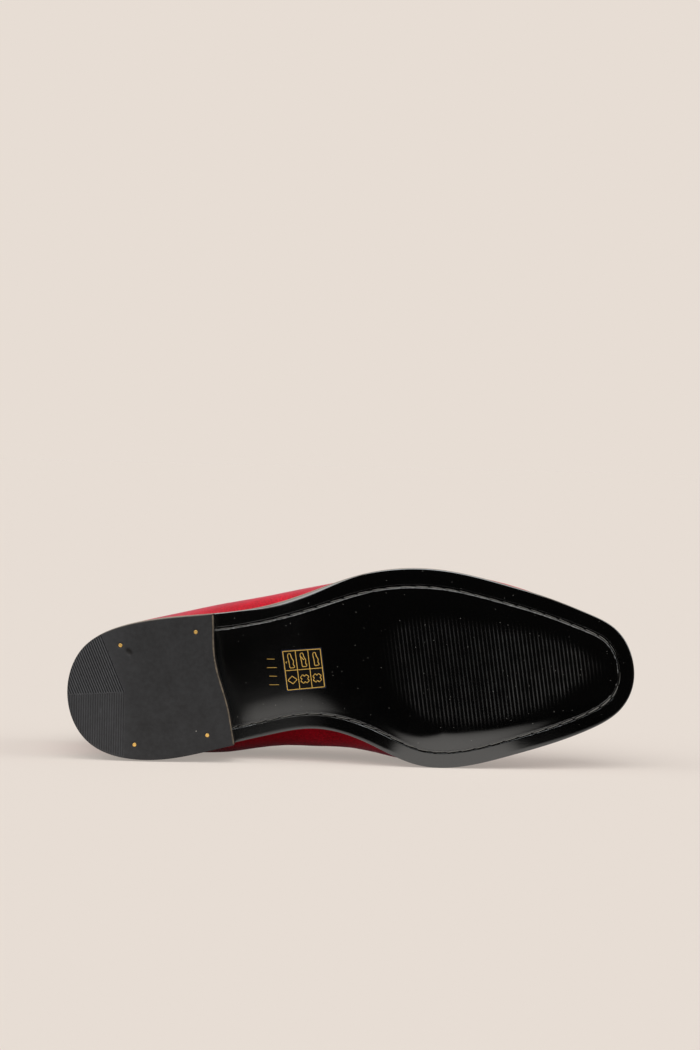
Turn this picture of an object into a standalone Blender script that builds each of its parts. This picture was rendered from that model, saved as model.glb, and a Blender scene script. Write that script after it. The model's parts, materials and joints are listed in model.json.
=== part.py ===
"""
A velvet slip-on loafer with a leather sole: one right shoe, lying on its medial (inner) side.

The shoe is drawn in its own frame, as it would stand: X runs from the heel to the toe, Y to the
medial side and Z up from the ground. At the end the whole shoe is laid on its medial side, on the
facet of its own convex hull that carries its weight, so the world frame has the floor at z = 0,
the toe towards +X and the sole facing -Y. The tables are in millimetres, everything else in metres.
"""

import bpy
import bmesh
import numpy as np
from mathutils import Matrix, Vector

MM = 0.001

# ---------------------------------------------------------------- driving dimensions

SOLE_LENGTH = 0.300        # back of the heel's tread to the tip of the toe
HEEL_LENGTH = 0.083        # back of the heel to its breast, on the centre line
BREAST_SKEW = 0.12         # the breast runs forwards on the medial side, per metre of width
BREAST_HOLLOW = 0.0029     # how far the breast is set back at the deepest point of its hollow ...
HOLLOW_CENTRE = -0.015     # ... which is here, on the lateral half
HOLLOW_REACH = 0.030       # half the hollow's width
HEEL_RAKE = 0.0015         # how far the heel seat stands behind the heel's tread
TOP_PIECE_THICKNESS = 0.0065
SEAT_HEIGHT_BACK = 0.0235  # underside of the outsole above the ground, at the back of the seat
SEAT_HEIGHT_FRONT = 0.0195  # the same at the heel's breast
FLAT_START = 0.182         # the forepart lies on the ground from here ...
FLAT_END = 0.215           # ... to here
TOE_SPRING = 0.010
SOLE_THICKNESS = 0.0048
SOLE_CROWN = 0.0013        # how far the underside rises towards its edges ...
FLAT_SHARE = 0.5           # ... outside this share of its half width
CROWN_RUN_IN = 0.020       # the crown grows to its full height over this length in front of the heel
EDGE_ROUNDING = 0.0011
INSOLE_THICKNESS = 0.0025
FEATHER_INSET = 0.0030     # the upper's foot stands this far inside the sole's edge
WALL = 0.0022              # velvet, backing and lining together
GAP = 0.0003               # between pieces that meet
SLIVER = 1e-7              # twice the area of a hull facet too thin to count, in square metres
STAND_PROUD = 0.02 * MM    # a facet that a point stands further outside than this is no support
WELD = 2e-6                # points closer than this are one
PIN_DIAMETER = 0.0024
PIN_DEPTH = 0.0045

# The sole's outline. x is the distance from the back of the heel; sole_in and sole_out are the
# half widths to the medial and the lateral side. swell_in and swell_out say how far the widest
# line of the upper stands outside the sole's edge, and swell_rise how high that line runs above
# the sole. All in millimetres.
LAST_COLUMNS = ("x", "sole_in", "sole_out", "swell_in", "swell_out", "swell_rise")
LAST = (
    (0, 0.0, 0.0, 1.5, 1.5, 24),
    (10, 25.3, 25.2, 0.8, 0.2, 24),
    (30, 34.7, 34.8, -0.5, -0.5, 24),
    (55, 35.5, 38.3, 0.5, 0.9, 23),
    (80, 31.2, 39.5, 6.0, 4.0, 22),
    (105, 26.4, 42.3, 8.4, 4.8, 21),
    (130, 23.6, 49.2, 11.3, 1.9, 20),
    (155, 30.7, 56.9, 6.4, -2.0, 18),
    (180, 43.1, 59.8, 0.2, -1.7, 16),
    (205, 45.9, 57.2, -1.4, -1.1, 14),
    (230, 41.5, 50.2, -1.7, 0.2, 12),
    (255, 35.4, 41.5, -2.0, -0.45, 11),
    (275, 29.0, 32.8, -2.2, -2.1, 10),
    (290, 21.1, 24.1, -2.3, -2.3, 9),
    (300, 0.0, 0.0, -2.3, -2.3, 8),
)

# The topline, a row for each rib of the upper that ends on it: foot is the rib's place along the
# sole, x, y_in, y_out, z_in and z_out are the topline's point on either side, and lean is how far
# the rib has turned from upright, in degrees, where it reaches the edge.
TOPLINE_COLUMNS = ("foot", "x", "y_in", "y_out", "z_in", "z_out", "lean")
TOPLINE = (
    (0, 4.0, 0.0, 0.0, 88.0, 88.0, 42),
    (10, 9.0, 13.0, 13.5, 87.0, 87.0, 42),
    (30, 28.0, 22.5, 24.5, 82.5, 81.5, 44),
    (52, 54.0, 28.0, 31.5, 76.0, 74.5, 46),
    (74, 80.0, 30.5, 35.0, 70.5, 69.0, 48),
    (95, 106.0, 30.0, 34.0, 67.5, 66.5, 52),
    (115, 127.0, 25.5, 28.5, 69.0, 68.5, 62),
    (132, 143.0, 16.0, 17.0, 73.5, 73.0, 75),
    (142, 149.5, 8.5, 8.0, 76.8, 76.6, 84),
    (150, 151.5, 0.8, -0.8, 78.3, 78.3, 90),
)

# The crest of the vamp, where the ribs of the two sides meet, from the throat to the toe.
CREST_COLUMNS = ("foot", "x", "y", "z")
CREST = (
    (150, 151.5, 0.8, 78.3),
    (165, 161.0, 1.6, 73.8),
    (180, 174.0, 2.4, 66.6),
    (205, 195.0, 3.0, 56.2),
    (230, 215.0, 2.6, 47.6),
    (255, 233.0, 1.8, 41.4),
    (275, 246.0, 1.0, 38.2),
    (290, 254.5, 0.4, 36.5),
    (300, 259.0, 0.0, 35.8),
)

# Brass pins in the heel's tread: distance from the back and from the centre line, medial positive.
PIN_COLUMNS = ("x", "y")
PINS = (
    (29.0, -24.9),
    (68.9, -30.4),
    (34.4, 27.6),
    (72.9, 24.1),
)

SIDE_STATIONS = 52         # ribs along each side of the shoe
HEEL_STATIONS = 18         # points of the heel's plan along each side ...
BREAST_POINTS = 10         # ... and between the ends of its breast
SOLE_COLUMNS = 9           # points across the crowned underside of the outsole
PIN_SIDES = 16
THROAT_STATION = 26        # the rib that ends at the throat, half way along


# ---------------------------------------------------------------- curves

def column(table, names, name):
    """One named column of a table, in metres where it is a length."""
    values = np.array([row[names.index(name)] for row in table], dtype=float)
    return values if name == "lean" else values * MM


def smooth_curve(knots, values, at):
    """Natural cubic spline: the curve a thin batten takes through the knots, free at both ends."""
    step = np.diff(knots)
    size = len(knots)
    system = np.eye(size)
    load = np.zeros(size)
    for i in range(1, size - 1):
        system[i, i - 1:i + 2] = step[i - 1], 2 * (step[i - 1] + step[i]), step[i]
        load[i] = 6 * ((values[i + 1] - values[i]) / step[i] - (values[i] - values[i - 1]) / step[i - 1])
    bend = np.linalg.solve(system, load)
    i = np.clip(np.searchsorted(knots, at) - 1, 0, size - 2)
    a = (knots[i + 1] - at) / step[i]
    b = (at - knots[i]) / step[i]
    curved = ((a ** 3 - a) * bend[i] + (b ** 3 - b) * bend[i + 1]) * step[i] ** 2 / 6
    return a * values[i] + b * values[i + 1] + curved


def turn_of(x):
    """Place along the shoe as a turn from 0 to 1: even steps of it crowd at the heel and the toe."""
    return np.arccos(np.clip(1 - 2 * np.asarray(x) / SOLE_LENGTH, -1, 1)) / np.pi


def length_of(turn):
    """Distance from the back of the heel at this turn."""
    return SOLE_LENGTH * (1 - np.cos(np.pi * np.asarray(turn))) / 2


def last_value(name, turn):
    """A column of the LAST table at any turn."""
    return smooth_curve(turn_of(column(LAST, LAST_COLUMNS, "x")), column(LAST, LAST_COLUMNS, name), turn)


def outline(turn, side, inset=0.0, rake=HEEL_RAKE):
    """The sole's edge in plan, or a line inside it by inset. side is 1 medial, -1 lateral."""
    def edge(at):
        x = length_of(at)
        back = rake * np.clip(1 - x / HEEL_LENGTH, 0, 1) ** 2
        half = last_value("sole_in" if side > 0 else "sole_out", at)
        return np.stack([x - back, side * half], axis=-1)

    small = 1e-4
    before = edge(np.maximum(turn - small, 0.0))
    after = edge(np.minimum(turn + small, 1.0))
    tangent = after - before
    tangent[turn <= small] = (0.0, side)
    tangent[turn >= 1 - small] = (0.0, -side)
    tangent /= np.linalg.norm(tangent, axis=-1, keepdims=True)
    outward = side * np.stack([-tangent[..., 1], tangent[..., 0]], axis=-1)
    return edge(turn) - inset * outward, outward


def underside(x):
    """Height of the outsole's underside on the centre line: heel seat, arch, flat, toe spring."""
    slope = (SEAT_HEIGHT_FRONT - SEAT_HEIGHT_BACK) / HEEL_LENGTH
    seat = SEAT_HEIGHT_BACK + slope * x
    span = FLAT_START - HEEL_LENGTH
    u = np.clip((x - HEEL_LENGTH) / span, 0, 1)
    arch = SEAT_HEIGHT_FRONT * (2 * u ** 3 - 3 * u ** 2 + 1) + slope * span * (u ** 3 - 2 * u ** 2 + u)
    spring = TOE_SPRING * np.clip((x - FLAT_END) / (SOLE_LENGTH - FLAT_END), 0, None) ** 2
    return np.where(x < HEEL_LENGTH, seat, arch + spring)


def crown(across, x):
    """Rise of the underside from its flat middle to its edges; none under the heel seat."""
    rise = SOLE_CROWN * (np.clip(np.abs(across) - FLAT_SHARE, 0, None) / (1 - FLAT_SHARE)) ** 2
    return rise * np.clip((x - HEEL_LENGTH) / CROWN_RUN_IN, 0, 1)


# ---------------------------------------------------------------- meshes

def new_object(name, mesh, material):
    """An object in the shoe's collection with its own material."""
    thing = bpy.data.objects.new(name, mesh)
    mesh.materials.append(material)
    SHOE_COLLECTION.objects.link(thing)
    return thing


def finish(name, mesh_builder, material, smooth=True):
    """Weld the poles and seams, point the faces outwards and make the object."""
    bmesh.ops.remove_doubles(mesh_builder, verts=mesh_builder.verts, dist=WELD)
    bmesh.ops.recalc_face_normals(mesh_builder, faces=mesh_builder.faces)
    mesh = bpy.data.meshes.new(name)
    mesh_builder.to_mesh(mesh)
    mesh_builder.free()
    if smooth:
        mesh.shade_smooth()
        mesh.set_sharp_from_angle(angle=np.radians(35))
    return new_object(name, mesh, material)


def grid_faces(mesh_builder, points, wrap_rows, wrap_columns):
    """Quads over a grid of points, joined end to end along either way where it wraps."""
    rows, columns = points.shape[:2]
    verts = [[mesh_builder.verts.new(point) for point in row] for row in points]
    for i in range(rows if wrap_rows else rows - 1):
        for j in range(columns if wrap_columns else columns - 1):
            k, m = (i + 1) % rows, (j + 1) % columns
            mesh_builder.faces.new((verts[i][j], verts[k][j], verts[k][m], verts[i][m]))


def layer(inset, under, top, columns, crowned):
    """
    A closed body that follows the sole's outline: at each station a loop goes across the top from
    the lateral to the medial side, round that edge, back across the underside and round the other.
    under and top give heights from x, columns is the number of points across the underside, and
    the edges are rounded.
    """
    turn = np.linspace(0, 1, SIDE_STATIONS + 1)

    def edge(side, extra, level, lift=0.0):
        plan, _ = outline(turn, side, inset + extra)
        return np.column_stack([plan, level(plan[:, 0]) + lift])

    def across(level, amounts, rises):
        outer = edge(-1, EDGE_ROUNDING, level)
        inner = edge(1, EDGE_ROUNDING, level)
        lines = []
        for amount in amounts:
            line = outer + (inner - outer) * (amount + 1) / 2
            line[:, 2] = level(line[:, 0]) + (crown(amount, line[:, 0]) if rises else 0)
            lines.append(line)
        return lines

    lift = EDGE_ROUNDING + (crown(1.0, outline(turn, 1, inset)[0][:, 0]) if crowned else 0)
    loop = across(top, (-1, 0, 1), False)
    loop.append(edge(1, 0, top, -EDGE_ROUNDING))
    loop.append(edge(1, 0, under, lift))
    loop.extend(across(under, np.linspace(1, -1, columns), crowned))
    loop.append(edge(-1, 0, under, lift))
    loop.append(edge(-1, 0, top, -EDGE_ROUNDING))
    builder = bmesh.new()
    grid_faces(builder, np.stack(loop, axis=1), False, True)
    return builder


def breast_line(y):
    """The heel's front edge: skewed, with a shallow cosine hollow on its lateral half."""
    from_middle = np.clip(np.abs(y - HOLLOW_CENTRE) / HOLLOW_REACH, 0, 1)
    return HEEL_LENGTH + BREAST_SKEW * y - BREAST_HOLLOW * np.cos(np.pi / 2 * from_middle) ** 2


def breast_turn(side, rake):
    """The turn at which the sole's edge meets the breast, found by halving an interval."""
    low, high = turn_of(0.5 * HEEL_LENGTH), turn_of(1.5 * HEEL_LENGTH)
    for _ in range(30):
        middle = (low + high) / 2
        plan, _ = outline(np.array([middle]), side, 0.0, rake)
        if plan[0, 0] < breast_line(plan[0, 1]):
            low = middle
        else:
            high = middle
    return low


def heel_outline(rake):
    """Plan of the heel: from the lateral end of the breast round the back, then along the breast."""
    lateral = outline(np.linspace(0, breast_turn(-1, rake), HEEL_STATIONS), -1, 0.0, rake)[0]
    medial = outline(np.linspace(0, breast_turn(1, rake), HEEL_STATIONS), 1, 0.0, rake)[0]
    y = np.linspace(medial[-1, 1], lateral[-1, 1], BREAST_POINTS + 2)[1:-1]
    breast = np.stack([breast_line(y), y], axis=1)
    return np.concatenate([lateral[::-1], medial[1:], breast])


def heel_part(bottom, top, rake_bottom, rake_top):
    """A solid with the heel's plan between two heights, each a function of x."""
    builder = bmesh.new()
    rings = []
    for level, rake in ((bottom, rake_bottom), (top, rake_top)):
        plan = heel_outline(rake)
        rings.append([builder.verts.new((x, y, level(x))) for x, y in plan])
    for i in range(len(rings[0])):
        k = (i + 1) % len(rings[0])
        builder.faces.new((rings[0][i], rings[0][k], rings[1][k], rings[1][i]))
    builder.faces.new(rings[0])
    builder.faces.new(rings[1])
    return builder


# ---------------------------------------------------------------- upper

def crest_height(x):
    """Height of the vamp's crest at a distance from the heel."""
    return smooth_curve(column(CREST, CREST_COLUMNS, "x"), column(CREST, CREST_COLUMNS, "z"), x)


def rib_tops(side):
    """The upper end of every rib on one side: on the topline up to the throat, then on the crest."""
    turn = np.linspace(0, 1, SIDE_STATIONS + 1)
    behind = turn[:THROAT_STATION]
    ahead = turn[THROAT_STATION:]
    which = "in" if side > 0 else "out"
    knots = turn_of(column(TOPLINE, TOPLINE_COLUMNS, "foot"))

    def on_topline(name):
        return smooth_curve(knots, column(TOPLINE, TOPLINE_COLUMNS, name), behind)

    collar = np.stack([on_topline("x"), side * on_topline("y_" + which), on_topline("z_" + which)], axis=1)
    crest_x = column(CREST, CREST_COLUMNS, "x")
    x = smooth_curve(turn_of(column(CREST, CREST_COLUMNS, "foot")), crest_x, ahead)
    y = smooth_curve(crest_x, column(CREST, CREST_COLUMNS, "y"), x)
    crest = np.stack([x, y, crest_height(x)], axis=1)
    return np.concatenate([collar, crest]), np.radians(on_topline("lean"))


def crest_lean(wide, wide_z, top):
    """
    The lean of the ribs that end on the crest. Their arcs have to meet the crest's own slope, or
    the toe would show a pit where they run together: the arc's end slope, height over reach times
    cos / (1 + cos), is set to the crest's slope along the rib.
    """
    inward = top[:, :2] - wide
    reach = np.linalg.norm(inward, axis=1)
    fall = (crest_height(top[:, 0] - MM) - crest_height(top[:, 0] + MM)) / (2 * MM)
    slope = np.clip(-fall * inward[:, 0] / reach, 0, None)
    share = np.clip(slope * reach / (top[:, 2] - wide_z), 0, 0.48)
    return np.arccos(share / (1 - share))


def upper_ribs(side, inset=FEATHER_INSET, lower_rows=4, upper_rows=11):
    """
    The upper's outer face on one side, a rib for each station. From its foot on the sole a rib
    swells out to its widest line as a quarter wave, and from there an elliptic arc carries it up
    and in to its top, turned by the lean there: upright walls at the heel, a closed vault in front.
    """
    turn = np.linspace(0, 1, SIDE_STATIONS + 1)
    plan, outward = outline(turn, side, inset)
    foot_z = underside(plan[:, 0]) + SOLE_THICKNESS + GAP
    swell = inset + last_value("swell_in" if side > 0 else "swell_out", turn)
    rise = last_value("swell_rise", turn)
    top, lean = rib_tops(side)
    wide = plan + outward * swell[:, None]
    ahead = slice(THROAT_STATION, None)
    lean = np.concatenate([lean, crest_lean(wide[ahead], (foot_z + rise)[ahead], top[ahead])])
    rows = []
    for step in np.linspace(0, 1, lower_rows + 1)[:-1]:
        line = plan + (wide - plan) * np.sin(np.pi / 2 * step)
        rows.append(np.column_stack([line, foot_z + rise * step]))
    for step in np.linspace(0, 1, upper_rows + 1):
        angle = lean * step
        inward = (1 - np.cos(angle)) / (1 - np.cos(lean))
        upward = np.sin(angle) / np.sin(lean)
        line = wide + (top[:, :2] - wide) * inward[:, None]
        rows.append(np.column_stack([line, foot_z + rise + (top[:, 2] - foot_z - rise) * upward]))
    return np.stack(rows, axis=1)


def build_upper():
    """One hollow shell: open at the collar and underneath, where the sole closes it."""
    inner_side = upper_ribs(1)
    outer_side = upper_ribs(-1)
    around = np.concatenate([inner_side, outer_side[-2:0:-1]])
    builder = bmesh.new()
    grid_faces(builder, around, True, False)
    upper = finish("upper", builder, UPPER_VELVET)
    if upward_normals(upper) < 0:
        upper.data.flip_normals()
    shell = upper.modifiers.new("wall", "SOLIDIFY")
    shell.thickness = WALL
    shell.offset = -1
    shell.use_even_offset = True
    shell.use_rim = True
    return upper


def upward_normals(thing):
    """Sum of the upward part of the faces' normals: positive on a vault whose faces point out."""
    return sum(face.normal.z * face.area for face in thing.data.polygons)


# ---------------------------------------------------------------- sole, heel and insole

def sole_top(x):
    """The outsole's upper face."""
    return underside(x) + SOLE_THICKNESS


def build_outsole():
    """Leather outsole with its arch, flat forepart, toe spring and crowned underside."""
    builder = layer(0.0, underside, sole_top, SOLE_COLUMNS, crowned=True)
    return finish("outsole", builder, SOLE_LEATHER)


def build_insole():
    """Insole inside the foot of the upper, on the outsole."""
    builder = layer(FEATHER_INSET + WALL + GAP, lambda x: sole_top(x) + GAP,
                    lambda x: sole_top(x) + GAP + INSOLE_THICKNESS, 3, crowned=False)
    return finish("insole", builder, INSOLE_LEATHER)


def build_heel():
    """Stacked leather heel between the top piece and the seat."""
    builder = heel_part(lambda x: TOP_PIECE_THICKNESS + GAP, lambda x: underside(x) - GAP,
                        0.0, HEEL_RAKE)
    return finish("heel_stack", builder, HEEL_LEATHER)


def build_top_piece(pin_places):
    """Rubber top piece that the heel treads on, bored for the pins."""
    builder = heel_part(lambda x: 0.0, lambda x: TOP_PIECE_THICKNESS, 0.0, 0.0)
    piece = finish("heel_top_piece", builder, HEEL_RUBBER)
    for number, (x, y) in enumerate(pin_places, start=1):
        bpy.ops.mesh.primitive_cylinder_add(vertices=PIN_SIDES, radius=PIN_DIAMETER / 2 + GAP,
                                            depth=2 * (PIN_DEPTH + GAP), location=(x, y, 0.0))
        cutter = bpy.context.object
        cutter.name = f"cutter_pin_{number}"
        move_to(cutter, CUTTER_COLLECTION)
        cutter.hide_render = True
        cutter.display_type = "WIRE"
        bore = piece.modifiers.new(cutter.name, "BOOLEAN")
        bore.operation = "DIFFERENCE"
        bore.object = cutter
        CUTTERS.append(cutter)
    return piece


def build_pins(pin_places):
    """Brass pins, flush with the tread."""
    pins = []
    for number, (x, y) in enumerate(pin_places, start=1):
        bpy.ops.mesh.primitive_cylinder_add(vertices=PIN_SIDES, radius=PIN_DIAMETER / 2,
                                            depth=PIN_DEPTH, location=(x, y, PIN_DEPTH / 2))
        pin = bpy.context.object
        pin.name = f"heel_pin_{number}"
        pin.data.materials.append(PIN_BRASS)
        move_to(pin, SHOE_COLLECTION)
        pins.append(pin)
    return pins


# ---------------------------------------------------------------- scene set-up

def move_to(thing, collection):
    """Take an object out of its collections and put it in this one."""
    for old in list(thing.users_collection):
        old.objects.unlink(thing)
    collection.objects.link(thing)


def principled(name, colour, roughness, metallic=0.0):
    """A plain Principled material; colour is linear RGB."""
    material = bpy.data.materials.new(name)
    material.use_nodes = True
    shader = material.node_tree.nodes["Principled BSDF"]
    shader.inputs["Base Color"].default_value = (*colour, 1.0)
    shader.inputs["Roughness"].default_value = roughness
    shader.inputs["Metallic"].default_value = metallic
    return material


def balance_point(things):
    """Centroid of the solids in the shoe's frame, by the volume under each face."""
    depsgraph = bpy.context.evaluated_depsgraph_get()
    volume = 0.0
    moment = np.zeros(3)
    points = []
    for thing in things:
        evaluated = thing.evaluated_get(depsgraph)
        mesh = evaluated.to_mesh()
        mesh.calc_loop_triangles()
        place = np.array([evaluated.matrix_world @ vertex.co for vertex in mesh.vertices])
        corners = place[[tri.vertices[:] for tri in mesh.loop_triangles]]
        signed = np.einsum("ij,ij->i", corners[:, 0], np.cross(corners[:, 1], corners[:, 2])) / 6
        volume += signed.sum()
        moment += (signed[:, None] * corners.sum(axis=1) / 4).sum(axis=0)
        points.append(place)
        evaluated.to_mesh_clear()
    return moment / volume, np.concatenate(points)


def lying_facet(centre, points, down):
    """
    The facet of the convex hull that the shoe comes to rest on: from a first guess of down, take
    the facet under the balance point, make its normal down, and repeat until it stays the same.
    Slivers of the hull, whose normals mean nothing, are left out.
    """
    builder = bmesh.new()
    for point in points:
        builder.verts.new(point)
    bmesh.ops.convex_hull(builder, input=builder.verts)
    facets = []
    for face in builder.faces:
        corners = np.array([vertex.co for vertex in face.verts[:3]])
        normal = np.cross(corners[1] - corners[0], corners[2] - corners[0])
        size = np.linalg.norm(normal)
        if size < SLIVER:
            continue
        normal /= size
        reach = normal @ (corners[0] - centre)
        if reach < 0:
            normal, reach = -normal, -reach
        if ((points - centre) @ normal).max() < reach + STAND_PROUD:
            facets.append([*normal, reach])
    builder.free()
    facets = np.array(facets)
    for _ in range(50):
        towards = facets[:, :3] @ down
        distance = np.where(towards > 1e-6, facets[:, 3] / np.maximum(towards, 1e-6), np.inf)
        normal = facets[np.argmin(distance), :3]
        if np.allclose(normal, down, atol=1e-9):
            break
        down = normal
    return down


def lay_down(things, holder):
    """Turn and move the holder so that the shoe lies on its medial side with the floor at z = 0."""
    centre, points = balance_point(things)
    down = lying_facet(centre, points, np.array([0.0, 1.0, 0.0]))
    up = -down
    heel_to_toe = np.array([1.0, 0.0, 0.0])
    along = heel_to_toe - down[0] * down
    along /= np.linalg.norm(along)
    across = np.cross(up, along)
    turned = points @ np.array([along, across, up]).T
    low, high = turned.min(axis=0), turned.max(axis=0)
    place = -np.array([(low[0] + high[0]) / 2, (low[1] + high[1]) / 2, low[2]])
    matrix = Matrix([[*along, place[0]], [*across, place[1]], [*up, place[2]], [0, 0, 0, 1]])
    holder.matrix_world = matrix


for old_object in list(bpy.data.objects):
    bpy.data.objects.remove(old_object, do_unlink=True)

SHOE_COLLECTION = bpy.data.collections.new("loafer")
CUTTER_COLLECTION = bpy.data.collections.new("cutters")
for new_collection in (SHOE_COLLECTION, CUTTER_COLLECTION):
    bpy.context.scene.collection.children.link(new_collection)
CUTTERS = []

UPPER_VELVET = principled("red_velvet", (0.45, 0.012, 0.03), 0.9)
SOLE_LEATHER = principled("black_polished_leather", (0.006, 0.006, 0.006), 0.25)
HEEL_LEATHER = principled("black_heel_edge", (0.01, 0.009, 0.008), 0.4)
HEEL_RUBBER = principled("charcoal_rubber", (0.035, 0.035, 0.035), 0.75)
INSOLE_LEATHER = principled("tan_lining_leather", (0.32, 0.19, 0.10), 0.6)
PIN_BRASS = principled("brass", (0.75, 0.52, 0.16), 0.3, 1.0)

pin_places = list(zip(column(PINS, PIN_COLUMNS, "x"), column(PINS, PIN_COLUMNS, "y")))
shoe_pieces = [build_outsole(), build_heel(), build_top_piece(pin_places), build_insole(),
               build_upper(), *build_pins(pin_places)]

shoe = bpy.data.objects.new("shoe", None)
SHOE_COLLECTION.objects.link(shoe)
bpy.context.view_layer.update()
lay_down(shoe_pieces, shoe)
for piece in shoe_pieces + CUTTERS:
    piece.parent = shoe
bpy.context.view_layer.update()
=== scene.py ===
"""
The looks of a velvet slip-on loafer: one right shoe that lies on its medial side, sole to the front.

Every shape is worked out in millimetres in the shoe's own frame, as it would stand: X from the heel
to the toe, Y to the medial side and Z up from the ground. to_world() carries it to where the shoe
lies, by the two treads that the record states as mounts.
"""
import json
import bmesh
import bpy
import numpy as np
from mathutils import Matrix


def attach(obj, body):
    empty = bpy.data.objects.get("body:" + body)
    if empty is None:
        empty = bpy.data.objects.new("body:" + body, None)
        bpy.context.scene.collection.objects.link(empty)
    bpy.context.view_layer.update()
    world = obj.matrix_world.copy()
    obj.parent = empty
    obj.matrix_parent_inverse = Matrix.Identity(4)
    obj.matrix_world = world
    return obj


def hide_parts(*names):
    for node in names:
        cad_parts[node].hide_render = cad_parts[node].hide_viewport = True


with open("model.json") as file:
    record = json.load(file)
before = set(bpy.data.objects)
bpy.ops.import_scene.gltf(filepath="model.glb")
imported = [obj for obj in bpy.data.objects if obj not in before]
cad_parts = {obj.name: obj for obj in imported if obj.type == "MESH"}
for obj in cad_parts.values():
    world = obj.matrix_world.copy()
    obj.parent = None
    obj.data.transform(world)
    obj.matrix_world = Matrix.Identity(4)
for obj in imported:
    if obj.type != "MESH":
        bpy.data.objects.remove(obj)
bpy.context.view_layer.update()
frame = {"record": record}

MM = 0.001
MEDIAL, UP = np.array([0, 1.0, 0]), np.array([0, 0, 1.0])


def table(names, *rows):
    """The columns of a table by name."""
    return dict(zip(names.split(), np.array(rows, float).T))


def sided(columns, name, side):
    """The column of a table for one side of the shoe: side is 1 medial, -1 lateral."""
    return columns[name + ("_in" if side > 0 else "_out")]


# ---- the shoe's sizes, as in the solids

SOLE_LENGTH = 300.0
HEEL_LENGTH = 83.0         # back of the heel to its breast, on the centre line
BREAST_SKEW = 0.12
BREAST_HOLLOW = 2.9
HOLLOW_CENTRE = -15.0
HOLLOW_REACH = 30.0
HEEL_RAKE = 1.5
TOP_PIECE_THICKNESS = 6.5
SEAT_HEIGHT_BACK = 23.5
SEAT_HEIGHT_FRONT = 19.5
FLAT_START = 182.0
FLAT_END = 215.0
TOE_SPRING = 10.0
SOLE_THICKNESS = 4.8
INSOLE_THICKNESS = 2.5
FEATHER_INSET = 3.0
WALL = 2.2                 # velvet, backing and lining together
LINING_DEPTH = 1.3         # the lining's outer face inside the velvet's
GAP = 0.3
HEEL_TREAD_X = 45.0        # where the record's two flat mounts lie on the sole's centre line
FOREPART_TREAD_X = 198.0

LAST = table(
    "x sole_in sole_out swell_in swell_out rise",
    (0, 0, 0, 1.5, 1.5, 24),
    (10, 25.3, 25.2, 0.8, 0.2, 24),
    (30, 34.7, 34.8, -0.5, -0.5, 24),
    (55, 35.5, 38.3, 0.5, 0.9, 23),
    (80, 31.2, 39.5, 6, 4, 22),
    (105, 26.4, 42.3, 8.4, 4.8, 21),
    (130, 23.6, 49.2, 11.3, 1.9, 20),
    (155, 30.7, 56.9, 6.4, -2, 18),
    (180, 43.1, 59.8, 0.2, -1.7, 16),
    (205, 45.9, 57.2, -1.4, -1.1, 14),
    (230, 41.5, 50.2, -1.7, 0.2, 12),
    (255, 35.4, 41.5, -2, -0.45, 11),
    (275, 29, 32.8, -2.2, -2.1, 10),
    (290, 21.1, 24.1, -2.3, -2.3, 9),
    (300, 0, 0, -2.3, -2.3, 8))

TOPLINE = table(
    "foot x y_in y_out z_in z_out lean",
    (0, 4, 0, 0, 88, 88, 42),
    (10, 9, 13, 13.5, 87, 87, 42),
    (30, 28, 22.5, 24.5, 82.5, 81.5, 44),
    (52, 54, 28, 31.5, 76, 74.5, 46),
    (74, 80, 30.5, 35, 70.5, 69, 48),
    (95, 106, 30, 34, 67.5, 66.5, 52),
    (115, 127, 25.5, 28.5, 69, 68.5, 62),
    (132, 143, 16, 17, 73.5, 73, 75),
    (142, 149.5, 8.5, 8, 76.8, 76.6, 84),
    (150, 151.5, 0.8, -0.8, 78.3, 78.3, 90))

CREST = table(
    "foot x y z",
    (150, 151.5, 0.8, 78.3),
    (165, 161, 1.6, 73.8),
    (180, 174, 2.4, 66.6),
    (205, 195, 3, 56.2),
    (230, 215, 2.6, 47.6),
    (255, 233, 1.8, 41.4),
    (275, 246, 1, 38.2),
    (290, 254.5, 0.4, 36.5),
    (300, 259, 0, 35.8))

PINS = ((29.0, -24.9), (68.9, -30.4), (34.4, 27.6), (72.9, 24.1))

# ---- sizes of the fine work

# The stitched channel: how far its middle lies inside the sole's edge, on either side.
CHANNEL = table(
    "x inset_in inset_out",
    (84, 7.9, 8.3), (98, 7.9, 7.8), (112, 7.9, 7.8), (130, 7.9, 8.5), (145, 8.1, 9),
    (158, 8.4, 9.3), (185, 8.5, 9.5), (231, 8.5, 9.1), (265, 8.5, 8.6), (285, 8.3, 8.2),
    (300, 7.9, 7.9))
CHANNEL_START = 72.0       # it begins under the heel
# The groove's section, from its outer lip inwards: place from its middle and depth in the leather.
GROOVE = ((-1.05, 0.0), (-0.95, 0.03), (-0.88, 0.4), (-0.6, 0.48), (0.05, 0.48), (0.66, 0.46),
          (0.73, 0.24), (0.79, 0.02), (0.86, -0.02), (0.94, -0.02), (1.35, -0.01))
GROOVE_REACH = 1.3         # the band outside ends this far from the groove's middle
LIP, LIP_WIDTH = 0.84, 0.06   # where the groove's inner lip is painted grey, partly scuffing and partly a painted highlight, and over what width
STITCH_PITCH = 7.8
HOLE_REACH = 0.42          # half the length of a needle hole, as a bell's width
STITCH_HALF = (0.25, 0.22)    # half the thread's width and height
FRAY_RADIUS = 0.15
FRAYED_AT = (24.0, 41.5, 54.0, 62.5, 71.0, 96.0)   # distances along the channel

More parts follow.
